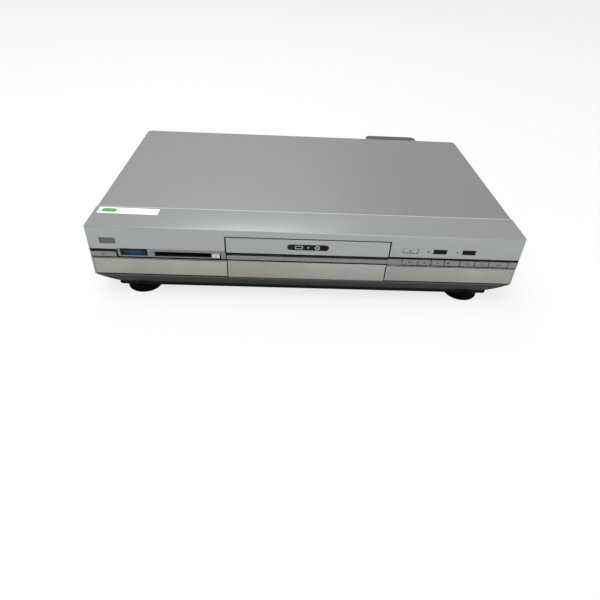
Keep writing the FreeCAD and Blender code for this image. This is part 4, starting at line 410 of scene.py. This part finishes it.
def mesh_of(name, points, faces, crease=35.0):
    """A smooth mesh, with sharp edges where faces meet at more than crease degrees."""
    mesh = bpy.data.meshes.new(name)
    mesh.from_pydata(np.asarray(points, float).reshape(-1, 3).tolist(), [], faces)
    mesh.shade_smooth()
    mesh.set_sharp_from_angle(angle=math.radians(crease))
    return mesh


def woven(rings):
    """Faces of a closed tube: rings is an array of rings by points by 3. Each ring closes, and both ends
    are capped."""
    levels, around = rings.shape[:2]
    index = np.arange(levels * around).reshape(levels, around)
    here, beside = index, np.roll(index, -1, axis=1)
    quads = np.stack([here[:-1], beside[:-1], beside[1:], here[1:]], -1).reshape(-1, 4).tolist()
    return quads + [index[0][::-1].tolist(), index[-1].tolist()]


def turned(profile, centre, axis, around=72):
    """Points of a turned form: each (radius, height) of the profile swept round an axis through the centre.
    The axis is 'z' for upright and 'y' for a form that points to the back."""
    radius, height = np.asarray(profile, float).T * MM
    angle = np.linspace(0, 2 * np.pi, around, endpoint=False)
    first = radius[:, None] * np.cos(angle)
    second = radius[:, None] * np.sin(angle)
    along = np.repeat(height[:, None], around, 1)
    stack = (first, second, along) if axis == "z" else (first, along, second)
    return np.stack(stack, -1) + np.asarray(centre, float) * MM


def quarter(radius_from, height_from, radius_to, height_to, steps=6):
    """Quarter-round in a profile, from one (radius, height) to another, leaving along the radius."""
    turn = np.linspace(0, np.pi / 2, steps)
    across = radius_from + (radius_to - radius_from) * np.sin(turn)
    up = height_from + (height_to - height_from) * (1 - np.cos(turn))
    return list(zip(across, up))


def corners_of(node):
    """A node's low and high corner, in millimetres."""
    return [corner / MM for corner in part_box(node)]


def face_of(node):
    """The Y of a node's front face, in millimetres."""
    return corners_of(node)[0].y


def eased(node, width, crease=30.0, finish=None):
    """The node's own solid with its edges eased by width millimetres, as moulding leaves them."""
    solid = nodes[node]
    mesh = solid.data.copy()
    shell = bmesh.new()
    shell.from_mesh(mesh)
    bmesh.ops.remove_doubles(shell, verts=shell.verts, dist=1e-6)
    bmesh.ops.dissolve_limit(shell, angle_limit=math.radians(0.5), verts=shell.verts, edges=shell.edges)
    shell.to_mesh(mesh)
    shell.free()
    mesh.name = node + "_eased"
    mesh.shade_smooth()
    slot = slots[node]
    piece = bring(node + "_eased", mesh, solid["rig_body"], finish or SLOT_FINISHES[slot])
    bevel = piece.modifiers.new("eased_edges", "BEVEL")
    bevel.width = width * MM
    bevel.segments = 2
    bevel.limit_method = "ANGLE"
    bevel.angle_limit = math.radians(crease)
    bevel.harden_normals = True
    bevel.use_clamp_overlap = True
    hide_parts(node)
    return piece


def looped(rings):
    """Faces of a form that closes both ways: each ring joined to the next one, and the last to the first.
    They face outward where the rings run to the back on the outside."""
    index = np.arange(rings.shape[0] * rings.shape[1]).reshape(rings.shape[:2])
    after = np.roll(index, -1, axis=0)
    quads = np.stack([index, after, np.roll(after, -1, axis=1), np.roll(index, -1, axis=1)], -1)
    return quads.reshape(-1, 4).tolist()


def slab(outline, near, far):
    """A flat outline in (x, z), as a closed plate from near to far along Y."""
    turn = sum(a[0] * b[1] - b[0] * a[1] for a, b in zip(outline, outline[1:] + outline[:1]))
    corners = outline if turn > 0 else outline[::-1]
    rings = np.array([[(x, y, z) for x, z in corners] for y in (far, near)])
    return rings, woven(rings)


def hollow_slab(outer, inner, near, far):
    """Plate from near to far between two outlines with as many corners, both counter-clockwise."""
    walls = ((outer, near), (outer, far), (inner, far), (inner, near))
    rings = np.array([[(x, y, z) for x, z in outline] for outline, y in walls])
    return rings, looped(rings)


def printed(name, outlines, face_y, body, finish, proud=PRINT):
    """Printed marks: flat outlines in (x, z) millimetres that stand a hair proud of a face at face_y.
    A pair of outlines in a tuple is an outer and an inner edge."""
    points, faces = [], []
    for outline in outlines:
        if isinstance(outline, tuple):
            rings, quads = hollow_slab(*outline, face_y - proud, face_y + proud)
        else:
            rings, quads = slab(outline, face_y - proud, face_y + proud)
        faces += [[len(points) + corner for corner in face] for face in quads]
        points += (rings.reshape(-1, 3) * MM).tolist()
    return bring(name, mesh_of(name, points, faces), body, finish)


def dot(x, z, radius, sides=24):
    angle = np.linspace(0, 2 * np.pi, sides, endpoint=False)
    return [(x + radius * math.cos(a), z + radius * math.sin(a)) for a in angle]


def loop(x, z, radius, width):
    """Closed circle with a line of that width."""
    return dot(x, z, radius + width / 2), dot(x, z, radius - width / 2)


def arc(x, z, radius, width, start, sweep, steps=24):
    """Part of a circle, from start over sweep degrees, with a line of that width."""
    angle = np.radians(np.linspace(start, start + sweep, steps + 1))
    edges = ((radius + width / 2, angle), (radius - width / 2, angle[::-1]))
    return [(x + edge * math.cos(a), z + edge * math.sin(a)) for edge, angles in edges for a in angles]


def rectangle_line(x, z, width, height, line):
    """Rectangle drawn with a line of that width, inside the outer size."""
    return bar(x, z, width, height), bar(x, z, width - 2 * line, height - 2 * line)


def bar(x, z, width, height):
    return [(x - width / 2, z - height / 2), (x + width / 2, z - height / 2),
            (x + width / 2, z + height / 2), (x - width / 2, z + height / 2)]


def arrow(x, z, size, turn):
    """Triangle that points to the right, turned by degrees."""
    angle = np.radians(turn + np.array([0.0, 120.0, 240.0]))
    return [(x + size * math.cos(a), z + size * math.sin(a)) for a in angle]


def middle_of(node):
    """Middle of a node's front face, in millimetres: x, z and the face's y."""
    low, high = corners_of(node)
    return (low.x + high.x) / 2, (low.z + high.z) / 2, low.y


# Front

CASE_TOP = 79.0
CASE_SIDE = 215.0
BADGE_DROP = 16.7
SLOT_INSET = 63.0
SLOT_DROP = 32.3
LABEL_CORNER = np.array([-0.2112, -0.1166])
LABEL_ALONG = np.array([0.9985, -0.02])
FRONT_SOCKET_PITCH = 16.0
REAR_SOCKET_PITCH = 19.0
SOCKET_HALF = 7.5
REAR_SOCKET_ROWS = (SOCKET_HALF, 3 * SOCKET_HALF)

EASED = {
    "front_fascia": 0.25, "tray_door": 0.3, "left_flap": 0.3, "right_flap": 0.3, "display_window": 0.25,
    "memory_card_door": 0.35, "sensor_window": 0.2,
    "power_key": 0.3, "card_eject_key": 0.25, "open_close_key": 0.25, "left_select_key": 0.3,
    "right_select_key": 0.3, "programme_key": 0.25, "stop_key": 0.25, "play_key": 0.25, "record_key": 0.25,
    "pause_key": 0.25, "timer_key": 0.25, "playback_key": 0.25, "fan_cover": 0.5,
    "turntable": 0.15, "pickup_sled": 0.15, "hard_disc": 0.3, "clamp_bridge": 0.15, "disc_clamp": 0.2,
}
for node, width in EASED.items():
    eased(node, width, finish=eject_plastic if node == "card_eject_key" else None)


def clock_hands(x, z):
    """Two hands of a clock in one outline, one up and one to the right."""
    half, up, right = 0.14, 0.85, 0.7
    corners = ((-half, -half), (right, -half), (right, half), (half, half), (half, up), (-half, up))
    return [(x + across, z + rise) for across, rise in corners]


def plus(x, z, reach, half):
    """Upright cross with arms of that reach and half width."""
    arm = ((half, -reach), (half, -half), (reach, -half))
    corners = [(across * np.cos(turn) - rise * np.sin(turn), across * np.sin(turn) + rise * np.cos(turn))
               for turn in np.arange(4) * np.pi / 2 for across, rise in arm]
    return [(x + across, z + rise) for across, rise in corners]


def key_marks():
    """Plain signs printed on the keys, and the two small arrows beside the dark keys."""
    signs = {
        "power_key": lambda x, z: [arc(x, z, 1.15, 0.35, 120, 300), bar(x, z + 0.9, 0.35, 1.3)],
        "card_eject_key": lambda x, z: [arrow(x, z + 0.3, 0.9, 90), bar(x, z - 0.7, 1.6, 0.3)],
        "open_close_key": lambda x, z: [arrow(x, z + 0.15, 1.3, 90), bar(x, z - 1.05, 2.2, 0.4)],
        "programme_key": lambda x, z: [bar(x, z + lift, 3.4, 0.35) for lift in (-0.9, 0.0, 0.9)],
        "stop_key": lambda x, z: [bar(x, z, 1.7, 1.7)],
        "play_key": lambda x, z: [arrow(x, z, 1.25, 0)],
        "record_key": lambda x, z: [dot(x - 4.2, z, 1.1)],
        "pause_key": lambda x, z: [bar(x - 0.6, z, 0.55, 2.0), bar(x + 0.6, z, 0.55, 2.0)],
        "timer_key": lambda x, z: [loop(x, z, 1.2, 0.3), clock_hands(x, z)],
        "playback_key": lambda x, z: [arrow(x - 1.1, z, 1.15, 180), arrow(x + 0.9, z, 1.15, 180)],
    }
    for node, sign in signs.items():
        x, z, face = middle_of(node)
        printed(node + "_sign", sign(x, z), face, nodes[node]["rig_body"], ink)
    x, z, _ = middle_of("left_select_key")
    face = face_of("front_fascia")
    printed("up_sign", [arrow(x - 11.8, z - 0.2, 1.7, 90)], face, "case", ink)
    x, z, _ = middle_of("right_select_key")
    printed("back_sign", [arrow(x - 11.9, z, 1.6, 180)], face, "case", ink)


def door_badge():
    """Dark pill in the middle of the tray door, with a plain ring for a disc and a plain box beside it."""
    x, _, face = middle_of("tray_door")
    z = CASE_TOP - BADGE_DROP
    half, radius = 17.5, 3.2
    cap = dot(0, 0, radius, 32)
    right = sorted(((x + half + px, z + pz) for px, pz in cap if px >= -1e-9), key=lambda point: point[1])
    left = sorted(((x - half + px, z + pz) for px, pz in cap if px <= 1e-9), key=lambda point: -point[1])
    printed("door_badge", [right + left], face, "tray", badge_black)
    aside, line = 9.0, 0.6
    icons = [rectangle_line(x - aside, z, 7.6, 3.6, line), plus(x, z, 1.1, line / 2)]
    icons += [loop(x + aside, z, 2.0, 0.8), dot(x + aside, z, line)]
    printed("door_badge_icons", icons, face - PRINT, "tray", pale_ink, 0.014)


def rounded_sheet(name, start, width, depth, radius, lift, finish):
    """Sheet with rounded corners that lies on the top of the front moulding. Its start is measured from the
    label's corner, along the label and across it, in metres."""
    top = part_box("front_fascia")[1].z
    along = LABEL_ALONG / np.linalg.norm(LABEL_ALONG)
    across = np.array([-along[1], along[0]])
    steps = np.linspace(0, np.pi / 2, 8)
    ring = []
    for quarter_turn, (sx, sy) in enumerate(((1, 1), (0, 1), (0, 0), (1, 0))):
        angle = steps + quarter_turn * np.pi / 2
        px = start[0] + radius + (width - 2 * radius) * sx + radius * np.cos(angle)
        py = start[1] + radius + (depth - 2 * radius) * sy + radius * np.sin(angle)
        ring.append(np.stack([px, py], 1))
    flat = np.concatenate(ring)
    ground = LABEL_CORNER + flat[:, :1] * along + flat[:, 1:] * across
    rings = np.stack([np.column_stack([ground, np.full(len(ground), top + up)]) for up in (-0.00002, lift)])
    bring(name, mesh_of(name, rings, woven(rings)), "case", finish)


def shop_label():
    """Blank white paper label on the top strip, with a plain green bar."""
    rounded_sheet("shop_label", (0.0, 0.0), 0.0605, 0.0125, 0.0008, 0.00002, paper)
    rounded_sheet("shop_label_bar", (0.0035, 0.0030), 0.0150, 0.0074, 0.0034, 0.00004, green_ink)


def seam_painted_highlight():
    """Painted highlight on the seam of the steel cover with the front moulding: a pale, low half-round
    strip, with y = near + half - half cos(turn) and z = base + rise sin(turn), from the moulding's rear
    edge."""
    low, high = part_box("top_cover")
    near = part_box("front_fascia")[1].y
    half, sunk, rise, short = 0.0006, 0.00035, 0.00036, 0.0025
    turn = np.linspace(np.pi, 0, 9)
    ring = np.stack([near + half - half * np.cos(turn), high.z - sunk + rise * np.sin(turn)], 1)
    ends = (low.x + short, high.x - short)
    rings = np.stack([np.column_stack([np.full(len(ring), end), ring]) for end in ends])
    bring("seam_painted_highlight", mesh_of("seam_painted_highlight", rings, woven(rings)), "case", seam_highlight_white)


def painted_shadow_reveal(name, x, z, gap, width, depth):
    """Painted shadow inside an opening of the front: a black rectangular ring, width millimetres across,
    that lines the gap and stands back from the face by a fifth of a millimetre."""
    face = face_of("front_fascia")
    rings = []
    for inset, y in ((0.0, face + 0.2), (0.0, face + depth), (width, face + depth), (width, face + 0.2)):
        left, right = x[0] - gap + inset, x[1] + gap - inset
        low, high = z[0] - gap + inset, z[1] + gap - inset
        rings.append([(left, y, low), (right, y, low), (right, y, high), (left, y, high)])
    rings = np.array(rings) * MM
    bring(name, mesh_of(name, rings, looped(rings)), "case", black_plastic)


def panel_shadow_strips():
    """Painted shadow: a black strip along the lower edge of the upper panel, beside the tray door, over the
    groove.
    """
    face = face_of("front_fascia")
    door_low, door_high = corners_of("tray_door")
    band_low, _ = corners_of("card_bezel")
    end, gap, height = CASE_SIDE - 0.6, 1.0, 0.8
    for name, left, right in (("left_groove_painted_shadow", -end, band_low.x - gap),
                              ("right_groove_painted_shadow", door_high.x + gap, end)):
        strip = bar((left + right) / 2, door_low.z + height / 2, right - left, height)
        printed(name, [strip], face, "case", black_plastic)


def tray_strip_shadows():
    """Painted shadow: black edges of the strip under the tray door, on the gap under the door and the one
    over the mirror.
    """
    low, high = corners_of("key_row_trims")
    left, right = (corner.x for corner in corners_of("tray_door"))
    upper, lower = 1.1, 0.7
    outlines = [bar((left + right) / 2, high.z - upper / 2, right - left, upper),
                bar((left + right) / 2, low.z + lower / 2, right - left, lower)]
    printed("tray_strip_shadows", outlines, low.y, nodes["key_row_trims"]["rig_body"], black_plastic)


def mirror_painted_shadow_edges():
    """Painted shadow: black upper edges of the two flaps and black side edges of the window between them.
    """
    line, short = 0.7, 3.0
    for node in ("left_flap", "right_flap"):
        low, high = corners_of(node)
        edge = bar((low.x + high.x) / 2, high.z - line, high.x - low.x - short, line)
        printed(node + "_painted_shadow_edge", [edge], low.y, nodes[node]["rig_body"], black_plastic)
    low, high = corners_of("display_window")
    line, inset, short = 0.5, 0.45, 1.0
    sides = [bar(x, (low.z + high.z) / 2, line, high.z - low.z - short)
             for x in (low.x + inset, high.x - inset)]
    printed("display_window_painted_shadow_edges", sides, low.y, nodes["display_window"]["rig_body"], black_plastic)


def tray_door_painted_shadow_line():
    """Painted shadow: a black line on the front moulding round the opening for the tray door."""
    face = face_of("front_fascia")
    low, high = corners_of("tray_door")
    gap, width = 0.75, 0.5
    left, right, top = low.x - gap, high.x + gap, high.z + gap
    outline = [(left - width, low.z), (left, low.z), (left, top), (right, top), (right, low.z),
               (right + width, low.z), (right + width, top + width), (left - width, top + width)]
    printed("tray_door_painted_shadow_line", [outline], face, "case", black_plastic)


def card_slot_shadows():
    """Painted shadow: black lining on the floor of the card slot, and a black line beside and under the
    eject key.
    """
    key_low, key_high = corners_of("card_eject_key")
    face = face_of("card_bezel")
    left, right = SLOT_INSET - CASE_SIDE, key_low.x - 0.9
    floor = CASE_TOP - SLOT_DROP
    near, far = face + 0.05, face + 1.5
    ring = ((left, near), (right, near), (right, far), (left, far))
    rings = np.array([[(x, y, z) for x, y in ring] for z in (floor - 0.05, floor + 0.1)]) * MM
    bring("card_slot_painted_shadow", mesh_of("card_slot_painted_shadow", rings, woven(rings)), "case", black_plastic)
    gap, line = 0.3, 0.9
    x, z, _ = middle_of("card_eject_key")
    beside = bar(key_high.x + gap + line / 2, z, line, key_high.z - key_low.z + 1.6)
    line = 0.5
    under = bar(x, key_low.z - gap - line / 2, key_high.x - key_low.x, line)
    printed("eject_key_shadow", [beside, under], face, "case", black_plastic)


def hoop(name, profile, centre, body, finish):
    """Ring about an axis that points to the back: each (radius, height) of a closed profile swept round."""
    rings = turned(profile, centre, "y", 40)
    bring(name, mesh_of(name, rings, looped(rings)), body, finish)


def socket_rings():
    """Coloured rings on the ends of the round sockets: yellow for the picture, white and red for the sound,
    orange for digital sound. They stand a little proud of the socket's end."""
    low, high = corners_of("front_jacks")
    profile = [(3.15, -0.15), (3.4, 0.05), (3.4, 0.2), (2.1, 0.2), (2.1, 0.05), (2.3, -0.15)]
    first, z = low.x + (high.z - low.z) / 2, (low.z + high.z) / 2
    sunk = low.y + 0.12
    for column, finish in enumerate((yellow_plastic, white_plastic, red_plastic)):
        place = (first + FRONT_SOCKET_PITCH * column, sunk, z)
        hoop(f"front_socket_ring_{column + 1}", profile, place, "case", finish)
    low, high = corners_of("rear_jacks")
    profile = [(radius, -height) for radius, height in reversed(profile)]
    columns = (orange_plastic, red_plastic, white_plastic, yellow_plastic)
    for column, finish in enumerate(columns):
        x = low.x + SOCKET_HALF + REAR_SOCKET_PITCH * column
        for row, rise in enumerate(REAR_SOCKET_ROWS):
            name = f"rear_socket_ring_{row * len(columns) + column + 1}"
            hoop(name, profile, (x, high.y, low.z + rise), "case", finish)


def socket_frame():
    """Thin printed frame on the rear panel, round the group of round sockets."""
    low, high = corners_of("rear_jacks")
    _, panel_high = corners_of("rear_panel")
    x, z = (low.x + high.x) / 2, (low.z + high.z) / 2 + 0.6
    width, height = high.x - low.x + 5.4, high.z - low.z + 3.4
    printed("socket_frame", [rectangle_line(x, z, width, height, 0.4)], panel_high.y, "case", ink)


def painted_shadow_reveals():
    """Painted shadow: black edges round the tray door and round the three keys of the upper panel."""
    low, high = corners_of("tray_door")
    painted_shadow_reveal("tray_door_painted_shadow", (low.x, high.x), (low.z, high.z), 0.7, 0.3, 2.2)
    for key in ("open_close_key", "left_select_key", "right_select_key"):
        low, high = corners_of(key)
        painted_shadow_reveal(key + "_painted_shadow", (low.x, high.x), (low.z, high.z), 0.4, 0.15, 2.2)


# Feet

FOOT_RADIUS = 17.5
FOOT_GROOVE = 17.1
FOOT_TOP = 10.0
PAD_RADIUS = 14.0
PAD_SUNK = 0.5
AXIS = 0.0001


def foot(name, x, y):
    """Turned rubber foot: a rounded lower edge, a shallow groove and a slightly sunk pad."""
    profile = [(AXIS, PAD_SUNK), (PAD_RADIUS, PAD_SUNK), (14.5, 0.0)] + quarter(16.3, 0.0, FOOT_RADIUS, 1.4)
    profile += [(FOOT_RADIUS, 6.2), (FOOT_GROOVE, 6.6), (FOOT_GROOVE, 7.2), (FOOT_RADIUS, 7.6)]
    profile += [(17.3, FOOT_TOP), (AXIS, FOOT_TOP)]
    rings = turned(profile, (x, y, 0.0), "z")
    return bring(name, mesh_of(name, rings, woven(rings), 28.0), "case", foot_rubber)


def feet():
    low, high = corners_of("feet")
    for side, x in (("left", low.x + FOOT_RADIUS), ("right", high.x - FOOT_RADIUS)):
        for end, y in (("front", low.y + FOOT_RADIUS), ("rear", high.y - FOOT_RADIUS)):
            foot(f"{end}_{side}_foot", x, y)
    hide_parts("feet")


key_marks()
door_badge()
shop_label()
seam_painted_highlight()
panel_shadow_strips()
tray_strip_shadows()
mirror_painted_shadow_edges()
tray_door_painted_shadow_line()
card_slot_shadows()
socket_rings()
socket_frame()
painted_shadow_reveals()
feet()


# Studio: a pale floor, a wide soft lamp overhead and in front, and a pale room

def studio_floor():
    """Pale floor. The camera, mirrors and glass see it near white, with the object's shadow kept."""
    plain = bpy.data.meshes.new("studio_floor")
    reach = 14.0
    corners = [(-reach, -reach, 0), (reach, -reach, 0), (reach, reach, 0), (-reach, reach, 0)]
    plain.from_pydata(corners, [], [(0, 1, 2, 3)])
    floor = bpy.data.objects.new("studio_floor", plain)
    bpy.context.scene.collection.objects.link(floor)
    finish = Finish("floor_white", grey(238), 0.9)
    path = finish.node("ShaderNodeLightPath").socket.node
    seen = Signal(finish, path.outputs["Is Camera Ray"])
    white = finish.node("ShaderNodeEmission", None, {"Color": (1.0, 1.0, 1.0), "Strength": 1.0})
    both = finish.node("ShaderNodeMixShader", None, {0: seen * 0.75, 2: white})
    finish.tree.links.new(finish.shader.outputs[0], both.socket.node.inputs[1])
    finish.tree.links.new(both.socket, finish.tree.nodes["Material Output"].inputs["Surface"])
    plain.materials.append(finish.material)


def lamp(name, place, target, width, height, power):
    data = bpy.data.lights.new(name, "AREA")
    data.shape = "RECTANGLE"
    data.size = width
    data.size_y = height
    data.energy = power
    made = bpy.data.objects.new(name, data)
    bpy.context.scene.collection.objects.link(made)
    made.location = place
    made.rotation_mode = "QUATERNION"
    made.rotation_quaternion = (Vector(target) - Vector(place)).to_track_quat("-Z", "Y")


def room():
    world = bpy.data.worlds.new("pale_room")
    bpy.context.scene.world = world
    world.use_nodes = True
    background = world.node_tree.nodes["Background"]
    background.inputs["Color"].default_value = (1.0, 1.0, 1.0, 1.0)
    background.inputs["Strength"].default_value = 0.55


VIEW_RIGHT = Vector((0.99887, -0.01621, 0.04475))
VIEW_UP = Vector((-0.02575, 0.60684, 0.79441))
VIEW_PLACE = Vector((-0.02619, -0.56136, 0.31537))
LENS = 29.55


def camera():
    """The photograph's own viewpoint, from the width of the case and the directions of its edges."""
    back = VIEW_RIGHT.cross(VIEW_UP)
    data = bpy.data.cameras.new("camera")
    data.lens = LENS
    data.sensor_width = 36.0
    data.clip_start = 0.01
    data.clip_end = 100.0
    made = bpy.data.objects.new("camera", data)
    bpy.context.scene.collection.objects.link(made)
    aimed = Matrix((VIEW_RIGHT, VIEW_UP, back)).transposed().to_4x4()
    made.matrix_world = Matrix.Translation(VIEW_PLACE) @ aimed
    bpy.context.scene.camera = made


studio_floor()
lamp("overhead_lamp", (-0.3, -0.2, 1.5), (0.0, 0.0, 0.0), width=1.6, height=1.2, power=16.0)
lamp("window_lamp", (-0.25, 1.3, 1.4), (-0.03, -0.1, 0.08), width=0.9, height=0.4, power=5.5)
lamp("front_lamp", (0.5, -1.7, 0.9), (0.0, -0.1, 0.04), width=1.2, height=0.8, power=9.0)
room()
camera()
bpy.context.scene.view_settings.view_transform = "Standard"
